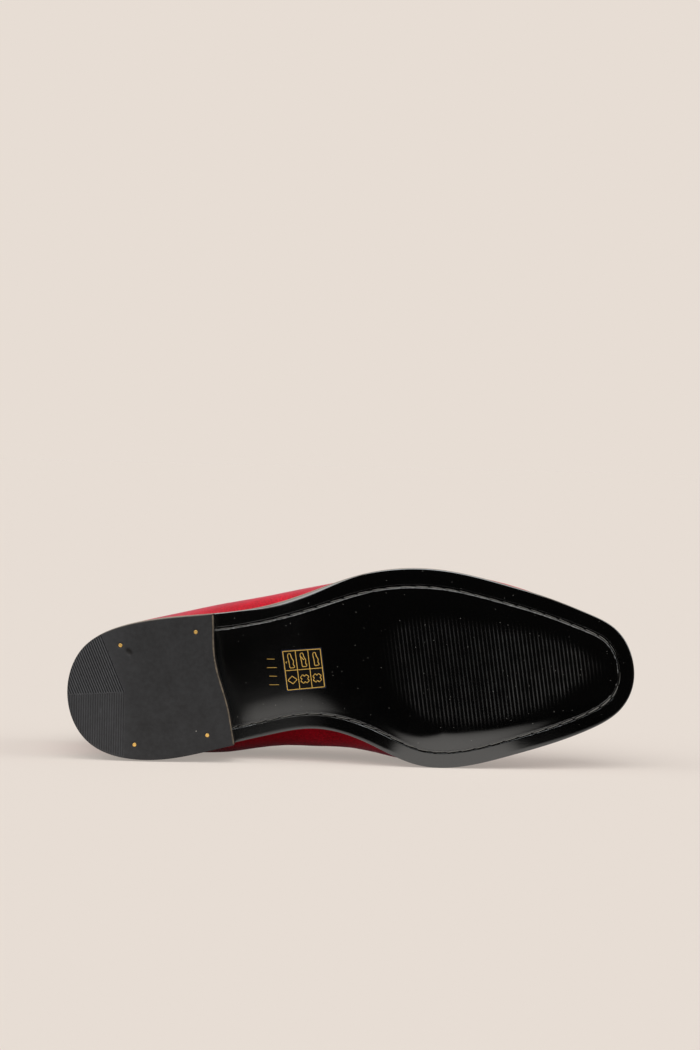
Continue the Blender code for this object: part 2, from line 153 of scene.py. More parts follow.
# The leather inside the channel turns up towards it: how far inside it starts, and how steeply it
# ends; then how steeply the band outside the channel goes on. This is the medial side.
CURL = table(
    "x start slope band",
    (84, 13, 0.02, -0.05),
    (91, 12.8, 0.045, -0.05),
    (98, 12.6, 0.095, -0.05),
    (106, 12.8, 0.1, -0.05),
    (118, 13, 0.1, -0.06),
    (130, 13, 0.072, -0.06),
    (142, 10, 0.03, -0.06),
    (150, 8, 0, -0.05),
    (165, 6, 0, -0.03),
    (176, 5.5, 0.05, 0.04),
    (185, 7, 0.07, 0.055),
    (197, 10.8, 0.077, 0.06),
    (213, 9.6, 0.077, 0.06),
    (228, 8, 0.077, 0.05),
    (237, 7.4, 0.074, 0.02),
    (247, 6.6, 0.068, 0.01),
    (258, 6.2, 0.045, 0.01),
    (270, 6, 0.03, 0.01),
    (300, 6, 0.02, 0.02))
LATERAL_CURL = {"start": 9.0, "slope": 0.05, "band": 0.035}
CURL_BEND, WAIST_CURL_BEND = 1.6, 3.4   # how softly it starts, and how much softer at the waist
UPPER_EDGE = 0.7           # radius of the sole's upper edge
EDGE_BEVEL = 0.55          # its lower edge is broken by this much, and laterally by these as well
WAIST_BEVEL = 2.1
FOREPART_BEVEL = 0.2
MEDIAL_WAIST_BEVEL = 0.25

RIB_PITCH = 2.09           # moulded grip of the forepart
RIB_LEAN = 0.088           # its ribs lean forward on the medial side, per mm of width
RIB_HEIGHT = 0.17
GRIP_FADE = 9.0            # the ribs die away over this width at the almond's border
GRIP = table(
    "x y_in y_out",
    (166, 0, -22), (172, 8, -29), (177, 14, -33.5), (183, 20.5, -35.6),
    (190, 24.8, -36), (205, 27.2, -35.8), (217, 27, -33.4), (228, 25, -31.6),
    (240, 22.6, -29.6), (252, 18.8, -26.8), (262, 14.4, -23.4), (270, 10, -19.4),
    (277, 6, -14.5), (285, 1.5, -8.5))
GRIP_ENDS = ((164.0, 182.0), (268.0, 292.0))   # lengthwise they come up and die away between these
HEEL_RIB_PITCH = 1.24
HEEL_GRIP_X = 30.5         # the heel's two fields of ribs end here, on the centre line
LATERAL_SLANT = 0.362      # how much further back their front ribs lie, per mm of width
MEDIAL_SLANT = -0.057
LATERAL_GROOVE = 0.5       # depth between the ribs
MEDIAL_GROOVE = 0.24

LABEL_CORNERS = ((113.8, -17.8), (133.9, -18.7), (135.5, 1.4), (115.7, 2.8))


# ---- curves

def smooth_curve(knots, values, at):
    """Natural cubic spline: the curve a thin batten takes through the knots, free at both ends."""
    step = np.diff(knots)
    size = len(knots)
    system = np.eye(size)
    load = np.zeros(size)
    slope = np.diff(values) / step
    for i in range(1, size - 1):
        system[i, i - 1:i + 2] = step[i - 1], 2 * (step[i - 1] + step[i]), step[i]
        load[i] = 6 * (slope[i] - slope[i - 1])
    bend = np.linalg.solve(system, load)
    i = np.clip(np.searchsorted(knots, at) - 1, 0, size - 2)
    a = (knots[i + 1] - at) / step[i]
    b = (at - knots[i]) / step[i]
    curved = ((a ** 3 - a) * bend[i] + (b ** 3 - b) * bend[i + 1]) * step[i] ** 2 / 6
    return a * values[i] + b * values[i + 1] + curved


def soft_step(value, low, high):
    """0 below low, 1 above high, and 3u^2 - 2u^3 between them."""
    u = np.clip((value - low) / (high - low), 0, 1)
    return u * u * (3 - 2 * u)


def unit(vectors):
    """Vectors at length 1."""
    return vectors / np.linalg.norm(vectors, axis=-1, keepdims=True)


def turn_of(x):
    """Place along the shoe as a turn from 0 to 1: arccos(1 - 2x / length) / pi."""
    return np.arccos(np.clip(1 - 2 * np.asarray(x) / SOLE_LENGTH, -1, 1)) / np.pi


def last_value(values, turn):
    """A column of the LAST table at any turn."""
    return smooth_curve(turn_of(LAST["x"]), values, turn)


def outline(turn, side, inset=0.0, rake=HEEL_RAKE):
    """
    The sole's edge in plan, moved inwards along its normal by inset, and the normal. Distance from
    the back of the heel is length (1 - cos(pi turn)) / 2, and the rake sets the back forward.
    """
    turn = np.asarray(turn, dtype=float)

    def edge(at):
        x = SOLE_LENGTH * (1 - np.cos(np.pi * at)) / 2
        back = rake * np.clip(1 - x / HEEL_LENGTH, 0, 1) ** 2
        return np.stack([x - back, side * last_value(sided(LAST, "sole", side), at)], axis=-1)

    small = 1e-4
    tangent = edge(np.minimum(turn + small, 1.0)) - edge(np.maximum(turn - small, 0.0))
    tangent[turn <= small] = (0.0, side)
    tangent[turn >= 1 - small] = (0.0, -side)
    tangent = unit(tangent)
    outward = side * np.stack([-tangent[..., 1], tangent[..., 0]], axis=-1)
    return edge(turn) - np.asarray(inset)[..., None] * outward, outward


def underside(x):
    """Height of the underside on the centre line: seat, arch (Hermite cubic), flat, toe spring."""
    slope = (SEAT_HEIGHT_FRONT - SEAT_HEIGHT_BACK) / HEEL_LENGTH
    span = FLAT_START - HEEL_LENGTH
    u = np.clip((x - HEEL_LENGTH) / span, 0, 1)
    arch = SEAT_HEIGHT_FRONT * (2 * u ** 3 - 3 * u ** 2 + 1)
    arch = arch + slope * span * (u ** 3 - 2 * u ** 2 + u)
    spring = TOE_SPRING * np.clip((x - FLAT_END) / (SOLE_LENGTH - FLAT_END), 0, None) ** 2
    return np.where(x < HEEL_LENGTH, SEAT_HEIGHT_BACK + slope * x, arch + spring)


EDGE_LINE = {side: outline(np.linspace(0, 1, 500), side)[0] for side in (-1, 1)}


def channel_inset(x, side):
    """How far the channel's middle lies inside the edge; side is one number or one for each x."""
    return np.where(side > 0, *(np.interp(x, CHANNEL["x"], CHANNEL[name])
                                for name in ("inset_in", "inset_out")))


def edge_distance(plan):
    """Distance of points in plan from the nearest point of the sole's edge, and that one's side."""
    nearest = []
    for side in (-1, 1):
        parts = [np.linalg.norm(part[:, None, :] - EDGE_LINE[side][None], axis=2).min(axis=1)
                 for part in np.array_split(plan, len(plan) // 4000 + 1)]
        nearest.append(np.concatenate(parts))
    return np.minimum(*nearest), np.where(nearest[1] < nearest[0], 1, -1)


def sole_rise(distance, side, x):
    """
    How far the underside stands above its flat middle. Towards the channel it turns up by
    slope (sqrt(t^2 + w^2) - w), where t is how far the point is past the start of the turn and w is
    the bend's width, and outside the channel it goes on at the band's own slope. Round the toe the
    lateral side comes to the medial side's values.
    """
    def curl(name):
        medial, lateral = CURL[name], LATERAL_CURL[name]
        return np.where(side > 0, np.interp(x, CURL["x"], medial),
                        lateral + (medial[-1] - lateral) * soft_step(x, 262, 300))

    inset = channel_inset(x, side)
    turned = np.clip(inset + curl("start") - np.maximum(distance, inset), 0, None)
    width = CURL_BEND + WAIST_CURL_BEND * (side > 0) * (1 - soft_step(x, 130, 150))
    rise = curl("slope") * (np.sqrt(turned ** 2 + width ** 2) - width)
    return (rise + curl("band") * np.clip(inset - distance, 0, None)) * soft_step(x, 76, 85)


def grip_crest(x, y):
    """1 on a rib of the forepart: a raised cosine to the power 4 across it, faded at the border."""
    start = x - RIB_LEAN * y
    low, high = (np.interp(start, GRIP["x"], GRIP[name], left=0, right=0)
                 for name in ("y_out", "y_in"))
    fade = soft_step(np.minimum(high - y, y - low), 0, GRIP_FADE)
    fade = fade * soft_step(start, *GRIP_ENDS[0]) * (1 - soft_step(start, *GRIP_ENDS[1]))
    return fade * (0.5 + 0.5 * np.cos(2 * np.pi * start / RIB_PITCH)) ** 4


def sole_point(x, y, lift=0.0):
    """A point on the underside at this place in plan, lifted off it by lift."""
    x, y = np.broadcast_arrays(np.asarray(x, float), np.asarray(y, float))
    plan = np.stack([x.ravel(), y.ravel()], axis=1)
    distance, side = edge_distance(plan)
    z = underside(plan[:, 0]) + sole_rise(distance, side, plan[:, 0]) - lift
    z = z - RIB_HEIGHT * grip_crest(plan[:, 0], plan[:, 1])
    return np.column_stack([plan, z]).reshape(x.shape + (3,))


def ripple(points, size, seed):
    """Smooth noise from -1 to 1: the mean of five sines, their directions and phases from a seed."""
    draw = np.random.default_rng(seed)
    total = np.zeros(len(points))
    for _ in range(5):
        way = unit(draw.normal(size=3))
        length = size * draw.uniform(0.7, 1.5)
        total += np.sin(points @ way * 2 * np.pi / length + draw.uniform(0, 6.28))
    return total / 5


# ---- placing and making meshes

def shoe_frame():
    """Origin and axes of the shoe's own frame in the world, from the two treads in the record."""
    mounts = {mount["name"]: mount for mount in frame["record"]["mounts"]}
    heel = np.array(mounts["heel_tread"]["pos_m"])
    forepart = np.array(mounts["forepart_tread"]["pos_m"])
    along = unit(forepart - heel)
    up = -np.array(mounts["heel_tread"]["axis"])
    up = unit(up - (up @ along) * along)
    scale = np.linalg.norm(forepart - heel) / (FOREPART_TREAD_X - HEEL_TREAD_X)
    return heel - HEEL_TREAD_X * scale * along, np.array([along, np.cross(up, along), up]), scale


SHOE_ORIGIN, SHOE_AXES, SHOE_SCALE = shoe_frame()


def to_world(points):
    """Millimetres in the shoe's frame to metres in the world."""
    return SHOE_ORIGIN + np.asarray(points) * SHOE_SCALE @ SHOE_AXES


def quads(rows, columns, wrap_rows=False, wrap_columns=False):
    """Corner indices of the quads of a grid, joined end to end along either way where it wraps."""
    i = np.arange(rows if wrap_rows else rows - 1)[:, None]
    j = np.arange(columns if wrap_columns else columns - 1)[None]
    k, m = (i + 1) % rows, (j + 1) % columns
    corners = [i * columns + j, k * columns + j, k * columns + m, i * columns + m]
    return np.stack([np.broadcast_to(c, (i.size, j.size)).ravel() for c in corners], axis=1)


def skin(grid, wrap_rows=False, wrap_columns=False):
    """A grid of points as (points, faces)."""
    return grid.reshape(-1, 3), quads(*grid.shape[:2], wrap_rows, wrap_columns)


def joined(parts):
    """Several (points, faces) pairs as one."""
    starts = np.cumsum([0] + [len(points) for points, _ in parts])
    return (np.concatenate([points for points, _ in parts]),
            np.concatenate([faces + start for (_, faces), start in zip(parts, starts)]))


def add_object(name, data):
    """An object in the scene, at the origin."""
    made = bpy.data.objects.new(name, data)
    bpy.context.scene.collection.objects.link(made)
    return made


WELD = 0.002               # points nearer than this are one, in mm


def make_piece(name, part, material, replaces=None, sharp=40, wall=None, wear_and_painted_light=None):
    """
    A mesh object at the origin from points in the shoe's frame. Its UV map holds the place in plan
    in millimetres, and rubbed, if given, goes into an attribute of that name: how far the material
    is greyed, for wear and for painted light. Poles and seams are welded and the faces turned
    outwards, and wall gives an open sheet its thickness, inwards.
    """
    points, faces = part
    mesh = bpy.data.meshes.new(name)
    mesh.from_pydata(to_world(points).tolist(), [], faces.tolist())
    plan = mesh.uv_layers.new(name="plan_mm")
    corner = np.empty(len(mesh.loops), dtype=np.int32)
    mesh.loops.foreach_get("vertex_index", corner)
    plan.data.foreach_set("uv", points[corner][:, :2].astype(np.float32).ravel())
    if wear_and_painted_light is not None:
        wear = mesh.attributes.new("wear_and_painted_light", "FLOAT", "POINT")
        wear.data.foreach_set("value", wear_and_painted_light.astype(np.float32))
    builder = bmesh.new()
    builder.from_mesh(mesh)
    bmesh.ops.remove_doubles(builder, verts=builder.verts, dist=WELD * MM)
    bmesh.ops.dissolve_degenerate(builder, edges=builder.edges, dist=WELD * MM / 4)
    bmesh.ops.recalc_face_normals(builder, faces=builder.faces)
    builder.to_mesh(mesh)
    builder.free()
    mesh.shade_smooth()
    mesh.set_sharp_from_angle(angle=np.radians(sharp))
    mesh.materials.append(material)
    piece = add_object(name, mesh)
    if wall:
        shell = piece.modifiers.new("wall", "SOLIDIFY")
        shell.thickness = wall * MM
        shell.offset = -1
        shell.use_rim = True
    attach(piece, "root")
    if replaces:
        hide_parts(replaces)


def sweep(path, side, up, section, size=1.0, closed=False):
    """
    A section carried along a path: each point of the path gets the section's points, the first
    coordinate along side and the second along up, scaled by size there. Side, up and size are given
    once or for each point. An open path is closed by a pole at either end.
    """
    side, up = (np.broadcast_to(way, path.shape)[:, None] for way in (side, up))
    size = np.broadcast_to(size, len(path))[:, None, None]
    rings = path[:, None] + (side * section[:, :1] + up * section[:, 1:]) * size
    if not closed:
        poles = [np.repeat(end[None, None], len(section), axis=1) for end in (path[0], path[-1])]
        rings = np.concatenate([poles[0], rings, poles[1]])
    return skin(rings, closed, True)


def round_section(half_width, half_height, count):
    """An ellipse as a closed section."""
    angle = np.linspace(0, 2 * np.pi, count, endpoint=False)
    return np.stack([half_width * np.cos(angle), half_height * np.sin(angle)], axis=1)


def along_path(path):
    """Distance run along a path at each of its points."""
    return np.concatenate([[0], np.cumsum(np.linalg.norm(np.diff(path, axis=0), axis=1))])


def resampled(path, at, values=None):
    """The path's points, or the values given at them, at these distances along it."""
    run = along_path(path)
    lines = (path if values is None else values).T
    return np.stack([np.interp(at, run, line) for line in lines], axis=1)


# ---- materials

def colour(text):
    """An sRGB hex value as linear RGBA."""
    value = np.array([int(text[i:i + 2], 16) for i in (1, 3, 5)]) / 255
    linear = np.where(value <= 0.04045, value / 12.92, ((value + 0.055) / 1.055) ** 2.4)
    return (*linear.tolist(), 1.0)


def feed(tree, made, inputs):
    """Give a node's inputs, by name or in their order, a value or a link to an output or a node."""
    for name, source in inputs.items() if isinstance(inputs, dict) else enumerate(inputs):
        if isinstance(source, bpy.types.Node):
            source = source.outputs[0]
        if isinstance(source, bpy.types.NodeSocket):
            tree.links.new(source, made.inputs[name])
        else:
            made.inputs[name].default_value = source
    return made


def node(tree, kind, inputs=(), **settings):
    """Add a node with its settings, and its inputs' values and links."""
    made = tree.nodes.new("ShaderNode" + kind)
    for name, value in settings.items():
        setattr(made, name, value)
    return feed(tree, made, inputs)


def start_material(name, inputs):
    """A Principled material; returns it, its node tree and the place on the object."""
    material = bpy.data.materials.new(name)
    material.use_nodes = True
    finished(material, inputs)
    return material, material.node_tree, node(material.node_tree, "TexCoord").outputs["Object"]


def finished(material, inputs):
    """Feed the inputs of the material's Principled shader; returns the material."""
    feed(material.node_tree, material.node_tree.nodes["Principled BSDF"], inputs)
    return material


def tones(ramp, *stops):
    """Give a colour ramp its two stops, each a place from 0 to 1 and a hex value."""
    for stop, (place, text) in zip(ramp.color_ramp.elements, stops):
        stop.position, stop.color = place, colour(text)
    return ramp


GRAIN_DEPTH = 0.0001       # metres


def grained(tree, place, scale, detail, strength, **under):
    """A noise of this many grains to the metre, drawn as relief over what lies under it."""
    grain = node(tree, "TexNoise", {"Scale": scale, "Detail": detail, "Vector": place})
    return node(tree, "Bump", {"Strength": strength, "Distance": GRAIN_DEPTH, "Height": grain,
                               **under})


def mottled(tree, place, scale, *stops):
    """Patches of noise, this many to the metre, between two tones."""
    patches = node(tree, "TexNoise", {"Scale": scale, "Detail": 4.0, "Vector": place})
    return tones(node(tree, "ValToRGB", [patches]), *stops)


def dusted(tree, place, base, dust, cell, share):
    """
    Specks of dust on a dark surface: in one Voronoi cell out of a few, a dot at the cell's centre.
    cell is the spacing of the cells in millimetres, and share the part of them that holds a speck.
    """
    cells = node(tree, "TexVoronoi", {"Scale": 1 / (cell * MM), "Randomness": 1.0, "Vector": place})
    dot = node(tree, "Math", (cells.outputs["Distance"], 0.07), operation="LESS_THAN")
    split = node(tree, "SeparateColor", [cells.outputs["Color"]])
    chosen = node(tree, "Math", (split.outputs["Red"], share), operation="LESS_THAN")
    speck = node(tree, "Math", (dot, chosen), operation="MULTIPLY")
    return node(tree, "MixRGB", (speck, base, colour(dust)))


def cotton_velvet():
    """
    Cotton velvet: a short upright pile of fibres. It glows at grazing angles, where the eye meets
    the fibres' sides, and is deep and dark face on; brushing leaves soft cloudy patches.
    """
    material, tree, place = start_material("cotton_velvet", {
        "Roughness": 0.95, "Specular IOR Level": 0.1, "Sheen Weight": 1.0, "Sheen Roughness": 0.36,
        "Sheen Tint": colour("#FFB4C4")})
    # 14 mm patches and 0.8 mm tufts
    brushed = node(tree, "TexNoise", {"Scale": 70.0, "Detail": 2.0, "Vector": place})
    pile = node(tree, "TexNoise", {"Scale": 1300.0, "Detail": 3.0, "Vector": place})
    faint = node(tree, "Math", (brushed, 0.25), operation="MULTIPLY")
    tone = node(tree, "Math", (pile, 0.75, faint), operation="MULTIPLY_ADD")
    return finished(material, {
        "Base Color": tones(node(tree, "ValToRGB", [tone]), (0.38, "#9E000F"), (0.62, "#E20B2A")),
        "Normal": node(tree, "Bump", {"Strength": 0.5, "Distance": 0.00025, "Height": pile})})


def glazed_sole_leather():
    """
    Vegetable-tanned sole leather, inked black and glazed with wax under a hot iron: a mirror-like
    skin over a faint grain and the strokes of the polishing brush, with dust from the bench. The
    waist is brushed and not ironed, so it is duller, most on its medial side. An attribute, from 0
    to 1, greys the ribs' crests and the channel's inner lip: partly scuffing, and partly a painted
    highlight for the light those edges catch, greyest on the lateral lip, which faces the light.
    """
    material, tree, place = start_material("glazed_black_sole_leather", {
        "IOR": 1.76, "Specular IOR Level": 0.88, "Specular Tint": colour("#F3FAFF")})
    # The attribute mixes the black towards a pale grey: scuffing, and a painted highlight on the
    # crests and the lip.
    wear_and_highlight = node(tree, "Attribute", attribute_name="wear_and_painted_light").outputs["Fac"]
    tone = node(tree, "MixRGB", (wear_and_highlight, colour("#050505"), colour("#B0B0AE")))
    # Strokes of 0.6 x 20 mm, 0.9 mm grain and 22 mm rubs.
    streaks = node(tree, "Mapping", {"Vector": place, "Scale": (50.0, 1700.0, 1700.0)})
    stroked = grained(tree, streaks, 1.0, 2.0, 0.03)
    rub = node(tree, "TexNoise", {"Scale": 45.0, "Detail": 4.0, "Vector": place})
    rough = node(tree, "MapRange", (rub, 0.3, 0.7, 0.07, 0.115))
    rough_where_greyed = node(tree, "MapRange", (wear_and_highlight, 0.0, 0.024, 0.0, 0.3))
    matted = node(tree, "Math", (rough_where_greyed, rough), operation="ADD")
    split = node(tree, "SeparateXYZ", [place]).outputs
    waist = node(tree, "MapRange", (split["X"], 0.0, -0.03, 0.0, 0.07),
                 interpolation_type="SMOOTHSTEP")
    medial = node(tree, "MapRange", (split["Z"], 0.055, 0.035, 1.0, 1.9))
    return finished(material, {
        "Base Color": dusted(tree, place, tone, "#9A9892", 2.3, 0.28),
        "Roughness": node(tree, "Math", (waist, medial, matted), operation="MULTIPLY_ADD"),
        "Normal": grained(tree, place, 1100.0, 3.0, 0.03, Normal=stroked)})


def moulded_rubber():
    """
    Moulded heel rubber: matte charcoal with a fine mould grain and dust. An attribute says how far
    it
    is greyed, from 0 to 1: partly wear, and partly painted light and shade on the ribs, with lighter
    crests and darker grooves.
    """
    material, tree, place = start_material("moulded_charcoal_rubber", {
        "Roughness": 0.6, "IOR": 1.5, "Specular IOR Level": 0.35})
    wear_and_painted_light = node(tree, "Attribute", attribute_name="wear_and_painted_light").outputs["Fac"]
    # 2.4 mm mottle and 0.8 mm grain
    mottle = node(tree, "TexNoise", {"Scale": 420.0, "Detail": 6.0, "Vector": place})
    spread = node(tree, "MapRange", (mottle, 0.3, 0.7, -0.035, 0.035))
    tone = node(tree, "Math", (wear_and_painted_light, spread), operation="ADD")
    # The grey ramp draws the attribute's wear and its painted highlight and painted shade on the
    # ribs.
    grey = tones(node(tree, "ValToRGB", [tone]), (0, "#0F0F10"), (1, "#66676A"))
    return finished(material, {"Base Color": dusted(tree, place, grey, "#8F8B84", 5.0, 0.06),
                               "Normal": grained(tree, place, 1300.0, 4.0, 0.3)})


def raw_rubber_edge():
    """The cut front edge of the top piece: raw, dusty and brownish where the knife left it."""
    material, tree, place = start_material("raw_cut_rubber_edge", {"Roughness": 0.85})
    # 2.4 mm patches
    tone = mottled(tree, place, 420.0, (0.38, "#51493F"), (0.62, "#7C6F5D"))
    return finished(material, {"Base Color": tone})


def lining_leather():
    """Calf lining leather, dyed through and left unglazed: tan, softly mottled, with fine pores."""
    material, tree, place = start_material("tan_lining_calf", {"Roughness": 0.55})
    # 18 mm mottle and 0.7 mm pores
    pores = node(tree, "TexVoronoi", {"Scale": 1400.0, "Vector": place}).outputs["Distance"]
    return finished(material, {
        "Base Color": mottled(tree, place, 55.0, (0.35, "#9A7350"), (0.65, "#B48C66")),
        "Normal": node(tree, "Bump", {"Strength": 0.25, "Distance": GRAIN_DEPTH, "Height": pores})})


def grained_material(name, base, size, strength, inputs, detail=3.0):
    """A material of one colour under a fine grain, of this size in millimetres."""
    material, tree, place = start_material(name, {"Base Color": colour(base), **inputs})
    return finished(material, {"Normal": grained(tree, place, 1 / (size * MM), detail, strength)})


VELVET = cotton_velvet()
SOLE_LEATHER = glazed_sole_leather()
RUBBER = moulded_rubber()
RAW_EDGE = raw_rubber_edge()
LINING = lining_leather()
# Cut edges of stacked leather, sanded, inked black and burnished: glossy, with 1.1 mm fibres, 900
# to the metre.
EDGE_LEATHER = grained_material("burnished_black_edge_leather", "#0B0A0A", 1 / 0.9, 0.2,
                                {"Roughness": 0.3, "IOR": 1.55}, detail=4.0)
# Waxed linen sole thread: dark grey, with a slight shine from the wax.
THREAD = grained_material("waxed_grey_linen_thread", "#5E5D59", 0.5, 0.6, {"Roughness": 0.36})
# Ground brass: bright metal, rubbed flush with the rubber.
BRASS = grained_material("ground_brass", "#FFD27A", 0.5, 0.15, {"Metallic": 1.0, "Roughness": 0.48})
# Grosgrain tape: a silky black ribbon, dull along its fine ribs.
GROSGRAIN = grained_material("black_grosgrain_tape", "#0C0B0D", 0.6, 0.3, {
    "Roughness": 0.7, "Specular IOR Level": 0.2, "Sheen Weight": 0.06, "Sheen Roughness": 0.4})
# Coated paper label: near black, faintly glossy, under a clear film. The film's rim is painted a
# pale bluish grey, a painted highlight for the light its edge catches.
LABEL_GROUND = grained_material("coated_black_label", "#040406", 0.8, 0.1, {"Roughness": 0.3})
LABEL_RIM_PAINTED_HIGHLIGHT = grained_material("label_rim_painted_highlight", "#2B3040", 0.8, 0.1, {"Roughness": 0.25})
# Gold ink on the label: a metal-flake ink, duller than metal.
LABEL_GOLD = grained_material("gold_flake_ink", "#F2C562", 0.5, 0.1,
                              {"Roughness": 0.5, "Metallic": 0.3})


# ---- outsole

FIELD_POINTS = 56
BAND_POINTS = 4


def sole_stations():
    """Turns along the sole: 0.3 mm apart from breast to toe, and even in turn at its ends."""
    heel = np.linspace(0, turn_of(HEEL_LENGTH), 50)
    middle = turn_of(np.arange(HEEL_LENGTH + 0.3, 284, 0.3))
    return np.concatenate([heel, middle, np.linspace(middle[-1], 1, 110)[1:]])


CHANNEL_TURN = np.linspace(turn_of(CHANNEL_START), 1, 900)


def channel_middle(side):
    """The channel's middle on one side, from the heel to the toe, and its outward direction."""
    edge, outward = outline(CHANNEL_TURN, side)
    inset = channel_inset(edge[:, 0], side)
    plan = edge - inset[:, None] * outward
    height = underside(plan[:, 0]) + sole_rise(inset, side, plan[:, 0])
    return np.column_stack([plan, height]), outward


CHANNEL_RUN = {side: along_path(channel_middle(side)[0]) for side in (-1, 1)}


def needle_hole(turn, side):
    """1 at a needle hole, a bell along the channel; holes are counted from its lateral start."""
    run = np.interp(turn, CHANNEL_TURN, CHANNEL_RUN[side])
    if side > 0:
        run = CHANNEL_RUN[-1][-1] + CHANNEL_RUN[1][-1] - run
    away = run - STITCH_PITCH * np.round(run / STITCH_PITCH)
    return np.exp(-(away / HOLE_REACH) ** 2) * (turn > CHANNEL_TURN[0])


def bevel_of(x, side):
    """
    How far the sole's lower edge is broken: little, much on the lateral side of the waist, and
    somewhat more on the lateral side of the forepart.
    """
    waist = soft_step(x, 90, 116) * (1 - soft_step(x, 124, 160))
    forepart = soft_step(x, 148, 175) * (1 - soft_step(x, 235, 270))
    return EDGE_BEVEL + (WAIST_BEVEL * waist + FOREPART_BEVEL * forepart if side < 0
                         else MEDIAL_WAIST_BEVEL * waist)


def edge_profile(side, turn):
    """
    One side of the outsole from its upper face down round the edge, across the band and through the
    channel. Returns rows of points, from the top inwards: quarter circles break the edge above and
    below, and the groove wavers, and widens and deepens at each needle hole.
    """
    edge, outward = outline(turn, side)
    x = edge[:, 0]
    lower = bevel_of(x, side)
    middle = channel_inset(x, side)
    top = underside(x) + SOLE_THICKNESS
    rows = []

    def add_row(inset, above, level):
        plan = edge - np.asarray(inset)[..., None] * outward
        height = underside(plan[:, 0]) + sole_rise(level, side, plan[:, 0]) + above
        rows.append(np.column_stack([plan, height]))

    for angle in np.linspace(np.pi / 2, 0, 4):
        plan = edge - UPPER_EDGE * (1 - np.cos(angle)) * outward
        rows.append(np.column_stack([plan, top - UPPER_EDGE * (1 - np.sin(angle))]))
    for angle in np.linspace(0, np.pi / 2, 6):
        add_row(lower * (1 - np.cos(angle)), lower * 0.95 * (1 - np.sin(angle)), lower)
    for share in np.linspace(0, 1, BAND_POINTS + 1)[1:]:
        inset = lower + (middle - GROOVE_REACH - lower) * share
        add_row(inset, 0, inset)
    started = soft_step(x, 68, CHANNEL_START)
    hole = needle_hole(turn, side)
    place = np.column_stack([x, edge[:, 1], 0 * x])
    for number, (offset, depth) in enumerate(GROOVE):
        ragged = 0.06 * ripple(place, 4.0, 11 + (offset > 0))
        ragged = ragged + 0.03 * ripple(place, 1.1, 13 + number)
        widened = hole * (0.12 * (offset > 0.5) - 0.06 * (offset < -0.5))
        inset = middle + offset + ragged + widened
        add_row(inset, (depth + 0.1 * hole * (abs(offset) < 0.5)) * started, inset)
    return rows


def build_sole():
    """
    The leather outsole as one closed grid: at each station along the shoe a loop runs from the
    upper face over the lateral edge, across the underside and back over the medial edge.
    """
    turn = sole_stations()
    lateral, medial = (edge_profile(side, turn) for side in (-1, 1))
    start, end = lateral[-1][:, :2], medial[-1][:, :2]
    field = [start + (end - start) * share for share in np.linspace(0, 1, FIELD_POINTS + 2)[1:-1]]
    upper = [medial[0] + (lateral[0] - medial[0]) * share for share in (0.33, 0.67)]
    loop = lateral + [sole_point(*plan.T) for plan in field] + medial[::-1] + upper
    return skin(np.stack(loop, axis=1), False, True)


def sole_wear_and_painted_highlight(points):
    """
    How grey the sole is painted, from 0 to 1: a little on the crests of the ribs, and much on the
    inner lip of the channel, as a bell across it, laterally and round the toe, broken by noise. It
    is partly scuffing and partly a painted highlight: the crests stand in for the light lines the
    ribs catch, and the lip is greyest on the lateral side, which faces the light.
    """
    x, flat = points[:, 0], points * (1, 1, 0)
    # Partly scuffing, partly a painted highlight: the crests stand in for the light lines the ribs
    # catch.
    crests = grip_crest(x, points[:, 1]) * (0.017 + 0.006 * soft_step(x, 205, 240))
    distance, side = edge_distance(points[:, :2])
    inside = distance - channel_inset(x, side)
    lip = np.exp(-((inside - LIP) / LIP_WIDTH) ** 2) * soft_step(x, 76, 80)
    # Painted highlight: the lip is painted much greyer on the lateral side, which faces up to the
    # light, than on the medial side.
    lip = lip * np.where(side > 0, 0.02 + 0.4 * soft_step(x, 272, 296),
                         0.8 - 0.38 * soft_step(x, 262, 290))
    broken = (1 + 1.1 * ripple(flat, 2.6, 43)) * (1 + 0.8 * ripple(flat, 1.0, 47))
    return crests * (1 + 0.35 * ripple(flat, 9.0, 41)) + lip * broken


def build_stitches():
    """
    Lockstitches in the channel: each is a flattened thread that comes out of one hole and goes into
    the next. Its size along its length is 1 - (2u - 1)^6, and more round the toe, it dives into the
    holes as (2u - 1)^8, and it slants across the shoe as the needle left it, nearer to the channel's
    middle on the medial side. Across is towards the medial side, but the first stitch, which starts
    under the heel, is twisted to it through every direction outwards.
    """
    path, outward = (np.concatenate([lateral, medial[-2::-1]])
                     for lateral, medial in zip(channel_middle(-1), channel_middle(1)))
    section = round_section(*STITCH_HALF, 10)
    draw = np.random.default_rng(4)
    u = np.linspace(0, 1, 17)
    taper = np.clip(1 - np.abs(2 * u - 1) ** 6, 0.2, 1)
    parts = []
    for number in range(int(along_path(path)[-1] // STITCH_PITCH)):
        middle = resampled(path, (number + 0.03 + 0.94 * u) * STITCH_PITCH)
        aside = 0.21 - 0.11 * np.clip(middle[:, 1] / 15, -1, 1)
        slant = aside + (0.34 + draw.uniform(-0.1, 0.1)) * (u - 0.5) + draw.uniform(-0.06, 0.06)
        depth = 0.17 + draw.uniform(-0.05, 0.05) - 0.08 * np.sin(np.pi * u) + 0.5 * (2 * u - 1) ** 8
        across = unit(np.column_stack([resampled(outward, (number + u) * STITCH_PITCH), 0 * u]))
        middle = middle + across * slant[:, None] + np.outer(depth, UP)
        size = taper * (1 + 0.8 * soft_step(middle[:, 0], 262, 288))
        parts.append(sweep(middle, across, UP, section, size))
    return joined(parts)


